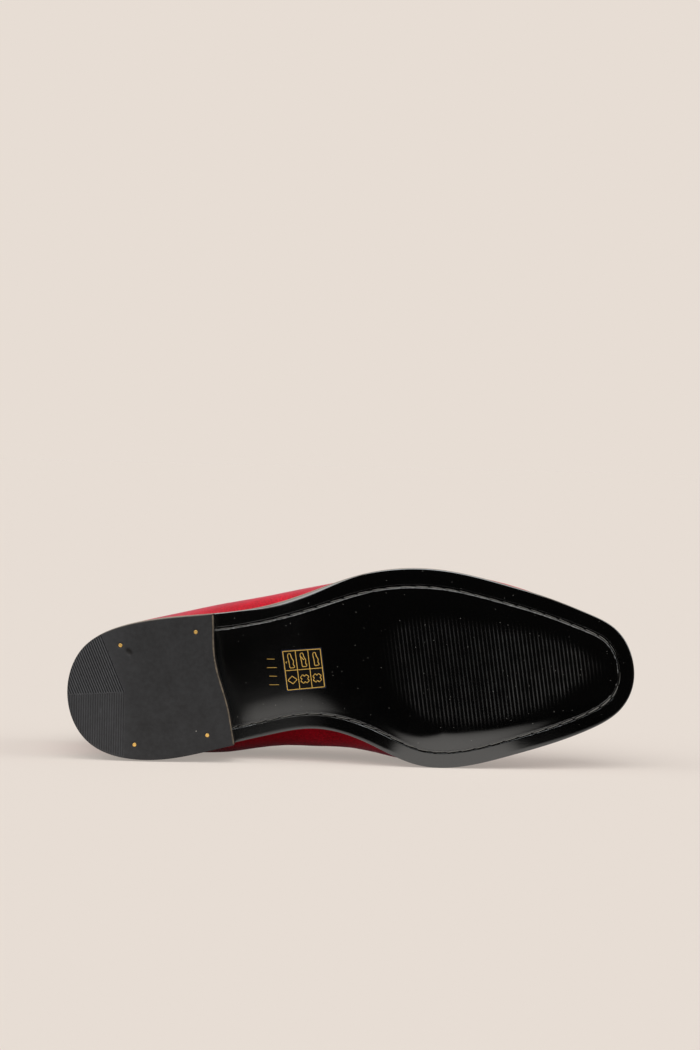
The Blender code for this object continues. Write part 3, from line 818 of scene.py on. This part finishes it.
def build_frayed_ends():
    """Short ends of thread that lie forwards out of the lateral channel: thin tapering curls."""
    draw = np.random.default_rng(8)
    section = round_section(FRAY_RADIUS, FRAY_RADIUS, 6)
    u = np.linspace(0, 1, 9)
    parts = []
    for start in resampled(channel_middle(-1)[0], FRAYED_AT):
        reach, bend = draw.uniform(0.9, 2.0), draw.uniform(-1.4, 1.4)
        curl = np.column_stack([0.6 + reach * u, bend * u ** 2, -0.1 - 0.25 * np.sin(np.pi * u)])
        parts.append(sweep(start + curl, MEDIAL, UP, section, 1.1 - 0.8 * u))
    return joined(parts)


# ---- heel

HEEL_POINTS = 121


def breast_turn(side):
    """The turn at which the heel's edge meets the breast, found by halving an interval."""
    low, high = turn_of(0.5 * HEEL_LENGTH), turn_of(1.5 * HEEL_LENGTH)
    for _ in range(30):
        middle = (low + high) / 2
        x, y = outline(np.array([middle]), side, 0.0, 0.0)[0][0]
        if x < HEEL_LENGTH + BREAST_SKEW * y:
            low = middle
        else:
            high = middle
    return low


def breast_hollow(y):
    """How far the breast is set back: a cosine squared over its hollow."""
    away = np.clip(np.abs(y - HOLLOW_CENTRE) / HOLLOW_REACH, 0, 1)
    return BREAST_HOLLOW * np.cos(np.pi / 2 * away) ** 2


def heel_lines(share, inset, rake):
    """
    Points across the heel from the lateral to the medial edge, a row for each share of the way from
    the back to the breast: straight lines between the two edges, bent by the breast's hollow as they
    near it.
    """
    front = share ** 40
    lateral, medial = (outline(share * breast_turn(side), side, inset * (1 - front), rake)[0]
                       for side in (-1, 1))
    across = np.linspace(0, 1, HEEL_POINTS)[None, :, None]
    rows = lateral[:, None] * (1 - across) + medial[:, None] * across
    rows[..., 0] -= breast_hollow(rows[..., 1]) * share[:, None] ** 3 + inset * front[:, None]
    return rows


def heel_shares(fine, coarse):
    """Shares of the way from back to breast: rows fine mm apart under the ribs, then coarse."""
    ribbed = HEEL_GRIP_X + 1
    x = np.concatenate([[0, 0.02, 0.06], np.arange(0.12, ribbed, fine),
                        np.arange(ribbed + coarse, HEEL_LENGTH - 0.5, coarse), [HEEL_LENGTH]])
    return turn_of(x) / turn_of(HEEL_LENGTH)


def heel_body(levels, height_of, share):
    """
    A closed body with the heel's plan. levels are (inset, rake, share of the height) from the tread
    up; height_of gives the height at a share for points in plan. A grid closes it below and above,
    and a strip of quads closes its sides and its breast between each two levels.
    """
    sheets = []
    for inset, rake, level in levels:
        plan = heel_lines(share, inset, rake)
        sheets.append(np.concatenate([plan, height_of(plan, level)[..., None]], axis=-1))
    stack = np.stack(sheets)
    count, length, width = stack.shape[:3]
    index = np.arange(count * length * width).reshape(count, length, width)
    faces = [quads(length, width), quads(length, width)[:, ::-1] + index[-1, 0, 0]]
    for low, high in zip(index, index[1:]):
        for a, b in ((low[:, 0], high[:, 0]), (low[:, -1], high[:, -1]), (low[-1], high[-1])):
            faces.append(np.stack([a[:-1], a[1:], b[1:], b[:-1]], axis=-1))
    return stack.reshape(-1, 3), np.concatenate(faces)


def tread_grooves(plan):
    """How deep points lie in a groove, from 0 to 1, where there are ribs, and the grooves' depth."""
    x, y = plan[..., 0], plan[..., 1]
    distance = edge_distance(plan.reshape(-1, 2))[0].reshape(x.shape)
    share, ribbed = np.zeros(x.shape), np.zeros(x.shape)
    for field, slant in ((y < 0, LATERAL_SLANT), (y >= 0, MEDIAL_SLANT)):
        phase = (x - HEEL_GRIP_X - slant * y) / (HEEL_RIB_PITCH * np.hypot(1, slant))
        from_groove = np.abs(phase - np.floor(phase) - 0.5)
        share += (1 - soft_step(from_groove, 0.12, 0.36)) * (field & (phase < 0))
        ribbed += field & (phase < 0)
    rim = soft_step(distance, 0.55, 1.4) * soft_step(np.abs(y), 0.0, 0.35)
    return share * rim, ribbed * rim, np.where(y < 0, LATERAL_GROOVE, MEDIAL_GROOVE)


def worn_places(x, y):
    """A nick near the lateral pin and a scratch on the ribs, each a bell."""
    nick = np.hypot((x - 33.4) / 1.5 - (y + 21.5) * 0.3, (y + 21.5) / 1.9)
    scratch = np.hypot((x - 17.1) / 0.35, (y - 8.6) / 1.7)
    return np.exp(-nick ** 4), np.exp(-scratch ** 2)


def tread_relief(plan):
    """Depths on the tread: the grooves, a dimple round each pin, and wear."""
    x, y = plan[..., 0], plan[..., 1]
    share, _, depth = tread_grooves(plan)
    sunk = share * depth
    for pin_x, pin_y in PINS:
        sunk = np.maximum(sunk, 0.2 * (1 - soft_step(np.hypot(x - pin_x, y - pin_y), 1.2, 1.9)))
    nick, scratch = worn_places(x, y)
    return sunk + 0.35 * nick + 0.2 * scratch


def tread_wear_and_painted_light(plan):
    """
    How far the rubber is greyed: lighter at the back than at the breast; on the ribs, lighter
    crests, partly wear and partly a painted highlight, and darker grooves, painted shade; a dark
    smudge in the nick, and a light scratch.
    """
    x, y = plan.T
    share, ribbed, depth = tread_grooves(plan)
    tone = 0.25 - 0.1 * soft_step(x, 20, 42)
    # Painted light and shade on the ribs: crests lighter and grooves darker, more so where the
    # grooves are deeper, with wear on the crests.
    tone = tone + ribbed * depth / LATERAL_GROOVE * (0.32 * (1 - share) - 0.12 * share)
    nick, scratch = worn_places(x, y)
    patches = 0.03 * ripple(np.column_stack([plan, 0 * x]), 14.0, 31)
    return np.clip(tone - 0.22 * nick + 0.35 * scratch + patches, 0, 1)


def build_top_piece():
    """Rubber top piece: ribbed tread with dimples at the pins, broken edges, straight sides."""
    levels = [(inset, 0.0, level) for inset, level in
              ((0.3, 0.0), (0.1, 0.035), (0.0, 0.1), (0.0, 0.9), (0.15, 1.0))]

    def height_of(plan, level):
        height = np.full(plan.shape[:-1], TOP_PIECE_THICKNESS * level)
        return height + (tread_relief(plan) if level == 0 else 0)

    return heel_body(levels, height_of, heel_shares(0.2, 0.7))


def build_lifts():
    """Three leather lifts under the seat, with fine joints between them and a rake at the back."""
    lifts = 3
    levels = []
    for number in range(lifts):
        for inset, part in ((0.28, 0.0), (0.04, 0.07), (0.0, 0.5), (0.04, 0.93), (0.28, 1.0)):
            level = (number + part) / lifts
            levels.append((inset, HEEL_RAKE * level, level))
    bottom = TOP_PIECE_THICKNESS + GAP / 3

    def height_of(plan, level):
        return bottom + (underside(plan[..., 0]) - GAP / 3 - bottom) * level

    return heel_body(levels, height_of, heel_shares(1.0, 1.4))


def build_cut_edge():
    """The knife's raw cut along the front of the tread: a thin band on the breast's upper corner."""
    row = heel_lines(np.array([1.0]), 0.0, 0.0)[0][1:-1]
    path = np.column_stack([row, np.full(len(row), 0.35)])
    ahead = np.cross(unit(np.gradient(path, axis=0)), UP)
    ahead *= np.sign(ahead[:, :1])
    return sweep(path, ahead, UP, round_section(0.42, 0.5, 8), 1 + 0.3 * ripple(path, 9.0, 5))


# A pin's end, from its centre mark over its face to the end of its shank: radius and height.
PIN_SECTION = np.array(((0.0, 0.05), (0.22, 0.05), (0.35, 0.01), (0.7, -0.02), (0.88, -0.01),
                        (0.97, 0.02), (1.0, 0.24), (1.2, 0.26), (1.2, 4.4), (0.0, 4.4)))


def build_pin(x, y):
    """A pin: its section turned about its axis."""
    angle = np.linspace(0, 2 * np.pi, 32, endpoint=False)
    radius, height = PIN_SECTION.T[..., None]
    ring = (x + radius * np.cos(angle), y + radius * np.sin(angle), height + 0 * angle)
    return skin(np.stack(ring, axis=-1), False, True)


# ---- upper

UPPER_STATIONS = 208
THROAT = 104               # the station where the topline meets the crest
LOWER_ROWS = 14
UPPER_ROWS = 40


def crest_height(x):
    """Height of the vamp's crest at a distance from the heel."""
    return smooth_curve(CREST["x"], CREST["z"], x)


def rib_tops(side, turn):
    """The upper end of every rib on one side: on the topline up to the throat, then on the crest."""
    behind, ahead = turn[:THROAT], turn[THROAT:]
    x, y, z, lean = (smooth_curve(turn_of(TOPLINE["foot"]), values, behind)
                     for values in (TOPLINE["x"], sided(TOPLINE, "y", side),
                                    sided(TOPLINE, "z", side), TOPLINE["lean"]))
    crest_x = smooth_curve(turn_of(CREST["foot"]), CREST["x"], ahead)
    crest_y = smooth_curve(CREST["x"], CREST["y"], crest_x)
    tops = np.concatenate([np.column_stack([x, side * y, z]),
                           np.column_stack([crest_x, crest_y, crest_height(crest_x)])])
    return tops, np.radians(lean)


def crest_lean(wide, wide_z, top):
    """The lean of the ribs on the crest: their arcs' end slope is set to the crest's own slope."""
    inward = top[:, :2] - wide
    reach = np.linalg.norm(inward, axis=1)
    fall = (crest_height(top[:, 0] - 1) - crest_height(top[:, 0] + 1)) / 2
    slope = np.clip(-fall * inward[:, 0] / reach, 0, None)
    share = np.clip(slope * reach / (top[:, 2] - wide_z), 0, 0.48)
    return np.arccos(share / (1 - share))


COUNTER = (82.0, 22.0, 0.4)   # the medial counter: its middle, reach, and how much fuller it is


def upper_ribs(side):
    """
    The upper's outer face on one side, a rib for each station: a quarter wave from its foot out to
    the widest line, then an elliptic arc up and in to its top, turned by the lean there. The wave is
    raised to a power below 1 at the medial counter, which makes it fuller there.
    """
    turn = np.linspace(0, 1, UPPER_STATIONS + 1)
    plan, outward = outline(turn, side, FEATHER_INSET)
    foot_z = underside(plan[:, 0]) + SOLE_THICKNESS + GAP
    wide = plan + outward * (FEATHER_INSET + last_value(sided(LAST, "swell", side), turn))[:, None]
    wide_z = foot_z + last_value(LAST["rise"], turn)
    top, lean = rib_tops(side, turn)
    ahead = slice(THROAT, None)
    lean = np.concatenate([lean, crest_lean(wide[ahead], wide_z[ahead], top[ahead])])
    middle, reach, fuller = COUNTER
    power = 1 - fuller * (side > 0) * np.exp(-((plan[:, 0] - middle) / reach) ** 2)
    rows = []
    for step in np.linspace(0, 1, LOWER_ROWS + 1)[:-1]:
        line = plan + (wide - plan) * (np.sin(np.pi / 2 * step) ** power)[:, None]
        rows.append(np.column_stack([line, foot_z + (wide_z - foot_z) * step]))
    for step in np.linspace(0, 1, UPPER_ROWS + 1):
        inward = (1 - np.cos(lean * step)) / (1 - np.cos(lean))
        upward = np.sin(lean * step) / np.sin(lean)
        line = wide + (top[:, :2] - wide) * inward[:, None]
        rows.append(np.column_stack([line, wide_z + (top[:, 2] - wide_z) * upward]))
    return np.stack(rows, axis=1)


def grid_normals(grid):
    """Unit normals of a grid that wraps along its first way, turned away from the shoe's middle."""
    along = np.roll(grid, -1, axis=0) - np.roll(grid, 1, axis=0)
    normal = np.cross(along, np.gradient(grid, axis=1))
    normal /= np.maximum(np.linalg.norm(normal, axis=2, keepdims=True), 1e-9)
    middle = np.zeros(grid.shape)
    middle[..., 0] = np.clip(grid[..., 0], 40, 240)
    middle[..., 2] = 30.0
    return normal * np.sign((normal * (grid - middle)).sum())


def join_crest(grid):
    """Bring the two sides' points on the crest together, so that it stays one line."""
    ahead = np.arange(THROAT, UPPER_STATIONS)
    mirror = 2 * UPPER_STATIONS - ahead
    grid[ahead, -1] = grid[mirror, -1] = (grid[ahead, -1] + grid[mirror, -1]) / 2
    return grid


def upper_grid():
    """The whole upper as a grid round the shoe."""
    return np.concatenate([upper_ribs(1), upper_ribs(-1)[-2:0:-1]])


# Shallow hollows in the cloth: x and z of the middle, reach along x and z, and depth.
HOLLOWS = ((128, 52, 16, 12, 0.35), (100, 48, 20, 10, 0.25), (172, 50, 14, 10, 0.25),
           (60, 60, 22, 12, 0.2))


def build_velvet():
    """
    The velvet shell, an open grid that Solidify gives its thickness. The cloth gives a little over
    the last: each hollow is a product of two bells, and a fine unrest dies away at the feather line.
    """
    grid = upper_grid()
    place = grid.reshape(-1, 3)
    depth = 0.07 * ripple(place, 9.0, 21) + 0.04 * ripple(place, 3.1, 22)
    for x, z, reach_x, reach_z, sink in HOLLOWS:
        away = ((place[:, 0] - x) / reach_x) ** 2 + ((place[:, 2] - z) / reach_z) ** 2
        depth += sink * np.exp(-away)
    depth = depth.reshape(grid.shape[:2]) * soft_step(np.arange(grid.shape[1]), 0, 4)
    return skin(join_crest(grid - grid_normals(grid) * depth[..., None]), True)


def build_lining():
    """The lining, inside the velvet and its backing, an open grid as well."""
    grid = upper_grid()
    inner = grid - grid_normals(grid) * LINING_DEPTH
    inner[:, 0, 2] = grid[:, 0, 2]
    return skin(join_crest(inner), True)


TAPE_STEP, TAPE_RIB = 0.35, 0.9   # points along the tape, and its ribs, this far apart
# The grosgrain tape's section, out from the topline and up: outside, fold, inside and core.
TAPE_SECTION = np.array((
    (0.35, -4.6), (0.62, -4.2), (0.62, -2.0), (0.55, -0.3), (0.1, 0.55), (-1.1, 0.75),
    (-2.4, 0.45), (-2.95, -0.4), (-3.0, -2.2), (-2.9, -4.0), (-2.5, -4.2),
    (-2.3, -0.6), (-1.1, -0.2), (-0.05, -0.6)))


def build_binding():
    """
    Grosgrain tape folded over the topline: a narrow U carried round the loop, 5 mm deep on the
    outside, its ribs drawn by a ripple along the tape. The loop runs from the heel along the medial
    side to the throat and back along the lateral side.
    """
    around = upper_grid()
    lateral = 2 * UPPER_STATIONS - np.arange(THROAT - 1, 0, -1)
    loop = np.concatenate([np.arange(THROAT + 1), lateral, [0]])
    path = around[loop, -1]
    run = along_path(path)[-1]
    at = np.linspace(0, run, int(run / TAPE_STEP), endpoint=False)
    outward, rising = (unit(resampled(path, at, unit(way)))
                       for way in (grid_normals(around)[loop, -2], path - around[loop, -4]))
    rib = 1 + 0.02 * np.cos(2 * np.pi * at / TAPE_RIB)
    return sweep(resampled(path, at), outward, rising, TAPE_SECTION, rib, closed=True)


def build_back_seam():
    """The closing seam up the back: a narrow strip of velvet, folded and flattened."""
    around = upper_grid()
    path, away = around[0, 2:-6], grid_normals(around)[0, 2:-6]
    taper = np.minimum(1, 0.4 + np.arange(len(path)) / 5)
    return sweep(path, MEDIAL, away, round_section(2.1, 0.42, 14), taper)


# ---- inside

def inner_layer(inset, bottom, thickness, crowned):
    """
    A closed sheet that follows the sole's outline inside the upper: loops across, as the sole's,
    with a blunt edge 0.5 mm deep. Its top rises to the sides by crowned times (2u - 1)^2.
    """
    turn = np.linspace(0, 1, 161)
    loop = []
    for height, shares, extra in ((thickness, np.linspace(0, 1, 17), 0.5), (0.3, (1.0,), 0.0),
                                  (0.0, np.linspace(1, 0, 5), 0.5), (0.3, (0.0,), 0.0)):
        lateral, medial = (outline(turn, side, inset + extra)[0] for side in (-1, 1))
        for share in shares:
            plan = lateral * (1 - share) + medial * share
            dish = crowned * (2 * share - 1) ** 2 if height == thickness else 0
            level = underside(plan[:, 0]) + SOLE_THICKNESS + bottom + height + dish
            loop.append(np.column_stack([plan, level]))
    return skin(np.stack(loop, axis=1), False, True)


# ---- label

INK_HEIGHT = 0.07
INK_LIFT = 0.09


def label_place(u, v, lift):
    """A point on the label, u along its foot and v up its side, lifted off the leather."""
    a, b, c, d = np.array(LABEL_CORNERS)
    u, v = np.asarray(u, float)[..., None], np.asarray(v, float)[..., None]
    plan = a * (1 - u) * (1 - v) + b * u * (1 - v) + c * u * v + d * (1 - u) * v
    return sole_point(plan[..., 0], plan[..., 1], lift)


def label_sheet(margin, low, high):
    """A thin closed slab on the leather, reaching margin beyond the label's frame."""
    share = np.linspace(-margin, 1 + margin, 13)
    u, v = np.meshgrid(share, share, indexing="ij")
    points = np.stack([label_place(u, v, high), label_place(u, v, low)])
    sheet = quads(*u.shape)
    index = np.arange(2 * u.size).reshape(2, *u.shape)
    rim = np.concatenate([index[:, :, 0], index[:, -1, 1:], index[:, ::-1, -1][:, 1:],
                          index[:, 0, ::-1][:, 1:]], axis=1)
    wall = np.stack([rim[0, :-1], rim[0, 1:], rim[1, 1:], rim[1, :-1]], axis=1)
    return points.reshape(-1, 3), np.concatenate([sheet, sheet + u.size, wall])


def ink_line(points, closed=False, width=0.33):
    """A gold line on the label through points (u, v): a flat bar carried along them."""
    flat = np.array(points, float)
    if closed:
        flat = np.concatenate([flat, flat[:1]])
    run = along_path(flat)[-1]
    place = resampled(flat, np.linspace(0, run, max(8, int(run / 0.025))))
    path = label_place(place[:, 0], place[:, 1], INK_LIFT)
    half = width / 2
    bar = np.array([(-half, 0), (half, 0), (half, INK_HEIGHT), (-half, INK_HEIGHT)])
    return sweep(path, unit(np.cross(UP, np.gradient(path, axis=0))), -UP, bar)


# A plain foot shape for the label, from its heel round its outer side to its toe and back.
FOOT_SHAPE = np.array((
    (-0.02, -0.46), (0.1, -0.44), (0.17, -0.26), (0.24, -0.12), (0.38, 0.06), (0.3, 0.2),
    (0.4, 0.36), (0.36, 0.46), (0.02, 0.47), (-0.12, 0.42), (-0.14, 0.1), (-0.2, -0.2),
    (-0.19, -0.4), (-0.02, -0.46)))


def build_label_print():
    """
    The generic print of the label: a frame of six cells, three plain foot shapes in the lateral row
    and a diamond, |cos| + |sin| = 1 / r, and two four-lobed rounds in the medial row.
    """
    lines = [ink_line([(0, 0), (1, 0), (1, 1), (0, 1)], True, 0.36), ink_line([(0, 0.5), (1, 0.5)])]
    lines += [ink_line([(u, 0), (u, 1)]) for u in (1 / 3, 2 / 3)]
    knots = np.arange(len(FOOT_SHAPE))
    at = np.linspace(0, knots[-1], 60)
    foot = np.column_stack([smooth_curve(knots, values, at) for values in FOOT_SHAPE.T])
    angle = np.linspace(0, 2 * np.pi, 48, endpoint=False)
    ring = np.column_stack([np.cos(angle), np.sin(angle)])
    diamond = (0.125, 0.1) * ring / np.abs(ring).sum(axis=1, keepdims=True)
    lobes = 0.72 - 0.14 * np.cos(4 * angle) - 0.11 * np.cos(8 * angle) + 0.05 * np.cos(2 * angle)
    rounded = (0.14, 0.15) * ring * lobes[:, None]
    for number, hide in enumerate((diamond, rounded, rounded)):
        middle = (number + 0.5) / 3
        lines.append(ink_line(foot * (0.24, 0.4) * (1 - 0.04 * number) + (middle, 0.25), True))
        lines.append(ink_line(hide + (middle, 0.75), True))
    lines.append(ink_line([(0.455, 0.16), (0.52, 0.24), (0.545, 0.25)]))
    lines.append(ink_line([(0.085, 0.27), (0.05, 0.28), (0.06, 0.31)]))
    return joined(lines)


def build_size_ticks():
    """Four plain gold ticks beside the label, where a size is usually stamped."""
    lines = []
    for number, length in enumerate((0.20, 0.26, 0.20, 0.26)):
        v = 0.16 + 0.22 * number
        ends = [(-0.34 - length / 2, v), (-0.34 + length / 2, v + 0.02)]
        lines.append(ink_line(ends, width=0.22))
    return joined(lines)


# ---- putting the shoe together

sole = build_sole()
make_piece("sole_leather", sole, SOLE_LEATHER, "outsole", sharp=32,
           wear_and_painted_light=sole_wear_and_painted_highlight(sole[0]))
make_piece("sole_stitches", build_stitches(), THREAD, sharp=60)
make_piece("frayed_thread_ends", build_frayed_ends(), THREAD, sharp=60)
top_piece = build_top_piece()
make_piece("heel_rubber", top_piece, RUBBER, "heel_top_piece", sharp=32,
           wear_and_painted_light=tread_wear_and_painted_light(top_piece[0][:, :2]))
make_piece("heel_cut_edge", build_cut_edge(), RAW_EDGE, sharp=70)
make_piece("heel_lifts", build_lifts(), EDGE_LEATHER, "heel_stack", sharp=32)
for number, centre in enumerate(PINS, start=1):
    make_piece(f"brass_pin_{number}", build_pin(*centre), BRASS, f"heel_pin_{number}")
make_piece("velvet_shell", build_velvet(), VELVET, "upper", wall=1.2)
make_piece("calf_lining", build_lining(), LINING, wall=0.8)
make_piece("topline_binding", build_binding(), GROSGRAIN, sharp=50)
make_piece("back_seam", build_back_seam(), VELVET, sharp=70)
insole_inset = FEATHER_INSET + WALL + GAP
make_piece("insole_board", inner_layer(insole_inset, GAP, INSOLE_THICKNESS, 0.0), LINING,
           "insole")
make_piece("sock_lining", inner_layer(insole_inset + 0.4, GAP + INSOLE_THICKNESS + 0.05, 0.9, 1.2),
           LINING)
# The rim's colour is a painted highlight on the clear film's edge.
make_piece("label_rim", label_sheet(0.035, -0.02, 0.05), LABEL_RIM_PAINTED_HIGHLIGHT)
make_piece("label_ground", label_sheet(0.012, 0.03, 0.08), LABEL_GROUND)
make_piece("label_print", build_label_print(), LABEL_GOLD)
make_piece("size_ticks", build_size_ticks(), LABEL_GOLD)


# ---- floor, light and camera

PAPER = colour("#E7DDD4")
FLOOR_REACH = 60.0         # metres
FLOOR_LIT = 0.58           # share of its brightness that shadows can take; the rest shines through
FLOOR_FRONT = -0.72        # the pale paper ends here; past it the studio is dark
FLOOR_SHINE = (-0.095, -0.25)   # what mirrors the floor sees it fade before the shoe between these
EVEN_LIGHT = 0.16          # the surroundings' share of the light


def build_floor():
    """
    A plain pale floor, so broad that it meets the pale surroundings at the horizon, in one colour.
    It gives off the part of its brightness that shadows can't take, to the eye and to gloss.
    """
    mesh = bpy.data.meshes.new("floor")
    corners = [(x, y, 0.0) for x, y in ((-FLOOR_REACH, FLOOR_FRONT), (FLOOR_REACH, FLOOR_FRONT),
                                        (FLOOR_REACH, FLOOR_REACH), (-FLOOR_REACH, FLOOR_REACH))]
    mesh.from_pydata(corners, [], [(0, 1, 2, 3)])
    material, tree, place = start_material("pale_paper_floor", {
        "Roughness": 0.9, "Specular IOR Level": 0.0, "Emission Color": PAPER})
    ray = node(tree, "LightPath").outputs
    glossy = ray["Is Glossy Ray"]
    ahead = node(tree, "SeparateXYZ", [place]).outputs["Y"]
    faded = node(tree, "MapRange", (ahead, *FLOOR_SHINE), interpolation_type="SMOOTHSTEP")
    lost = node(tree, "Math", (glossy, faded), operation="MULTIPLY")
    # The floor's colour to diffuse bounces is halved: it lights the shoe's underside less, a painted
    # shade by way of the floor's colour.
    dimmed = node(tree, "Math", (ray["Is Diffuse Ray"], 0.5, lost), operation="MULTIPLY_ADD")
    lit = (*(FLOOR_LIT * np.array(PAPER[:3])).tolist(), 1.0)
    direct = node(tree, "Math", (ray["Is Camera Ray"], glossy), operation="MAXIMUM")
    seen = node(tree, "Math", (direct, lost), operation="SUBTRACT")
    material.cycles.emission_sampling = "NONE"
    mesh.materials.append(finished(material, {
        "Base Color": node(tree, "MixRGB", (dimmed, lit, (0, 0, 0, 1))),
        "Emission Strength": node(tree, "Math", (seen, 1 - FLOOR_LIT), operation="MULTIPLY")}))
    add_object("floor", mesh)


# What gloss sees in the studio: the axis it hangs along, where it starts and is full, and its light
# before and there. They are a broad soft box overhead, the pale wall behind and a dim one toe side.
SOFT_BOXES = (("Z", 0.36, 0.66, 0.004, 1.3), ("Y", 0.02, 0.3, 0.0, 0.75),
              ("X", 0.58, 0.85, 0.0, 0.15))


def build_world():
    """
    A studio round the shoe. The eye sees the pale surroundings, cloth and floor get an even light,
    and gloss sees the soft boxes.
    """
    world = bpy.data.worlds.new("studio")
    bpy.context.scene.world = world
    world.use_nodes = True
    tree = world.node_tree
    tree.nodes.clear()
    world.cycles.sampling_method = "NONE"
    ray = node(tree, "LightPath").outputs
    way = node(tree, "SeparateXYZ", [node(tree, "TexCoord").outputs["Generated"]]).outputs
    boxes = 0.0
    for axis, *limits in SOFT_BOXES:
        box = node(tree, "MapRange", (way[axis], *limits), interpolation_type="SMOOTHSTEP")
        boxes = node(tree, "Math", (boxes, box), operation="ADD")
    seen = node(tree, "Background", (PAPER, 1.0))
    even = node(tree, "Background", (colour("#FFFFFF"), EVEN_LIGHT))
    gloss = node(tree, "Background", (colour("#FFEBD6"), boxes))
    lit = node(tree, "MixShader", (ray["Is Glossy Ray"], even, gloss))
    node(tree, "OutputWorld", [node(tree, "MixShader", (ray["Is Camera Ray"], lit, seen))])


# The lights: name, degrees before the shoe, degrees to its toe side, degrees across, share of light.
LIGHTS = (("key", 36, -2, 58, 0.5), ("heel_side_fill", 12, -58, 50, 0.17),
          ("toe_side_fill", 12, 58, 50, 0.17))


def build_light():
    """A broad key from above, in front, and a low fill on either side: with the even light, 1."""
    for name, front, side, across, share in LIGHTS:
        ahead, aside = np.radians(front), np.radians(side)
        light = bpy.data.lights.new(name, "SUN")
        light.energy = share * np.pi / (np.cos(ahead) * np.cos(aside))
        light.angle = np.radians(across)
        add_object(name, light).rotation_euler = (ahead, aside, 0.0)


CAMERA_PLACE = (-0.00143, -1.34595, 0.16110)
CAMERA_PITCH = 1.5         # degrees down
CAMERA_ROLL = -1.2984      # degrees
CAMERA_LENS = 85.0         # mm, on a sensor 36 mm high


def build_camera():
    """The camera: level with the shoe, looking along +Y, pitched down and rolled a little."""
    pitch, roll = np.radians(CAMERA_PITCH), np.radians(CAMERA_ROLL)
    forward = np.array([0.0, np.cos(pitch), -np.sin(pitch)])
    right = np.array([1.0, 0.0, 0.0])
    down = np.cross(forward, right)
    across = np.cos(roll) * right + np.sin(roll) * down
    upward = np.sin(roll) * right - np.cos(roll) * down
    data = bpy.data.cameras.new("camera")
    data.sensor_fit = "VERTICAL"
    data.sensor_height = 36.0
    data.lens = CAMERA_LENS
    camera = add_object("camera", data)
    axes = np.column_stack([across, upward, -forward, CAMERA_PLACE])
    camera.matrix_world = Matrix(axes.tolist() + [[0, 0, 0, 1]])
    bpy.context.scene.camera = camera


build_floor()
build_world()
build_light()
build_camera()
bpy.context.scene.view_settings.view_transform = "Standard"

bpy.context.view_layer.update()
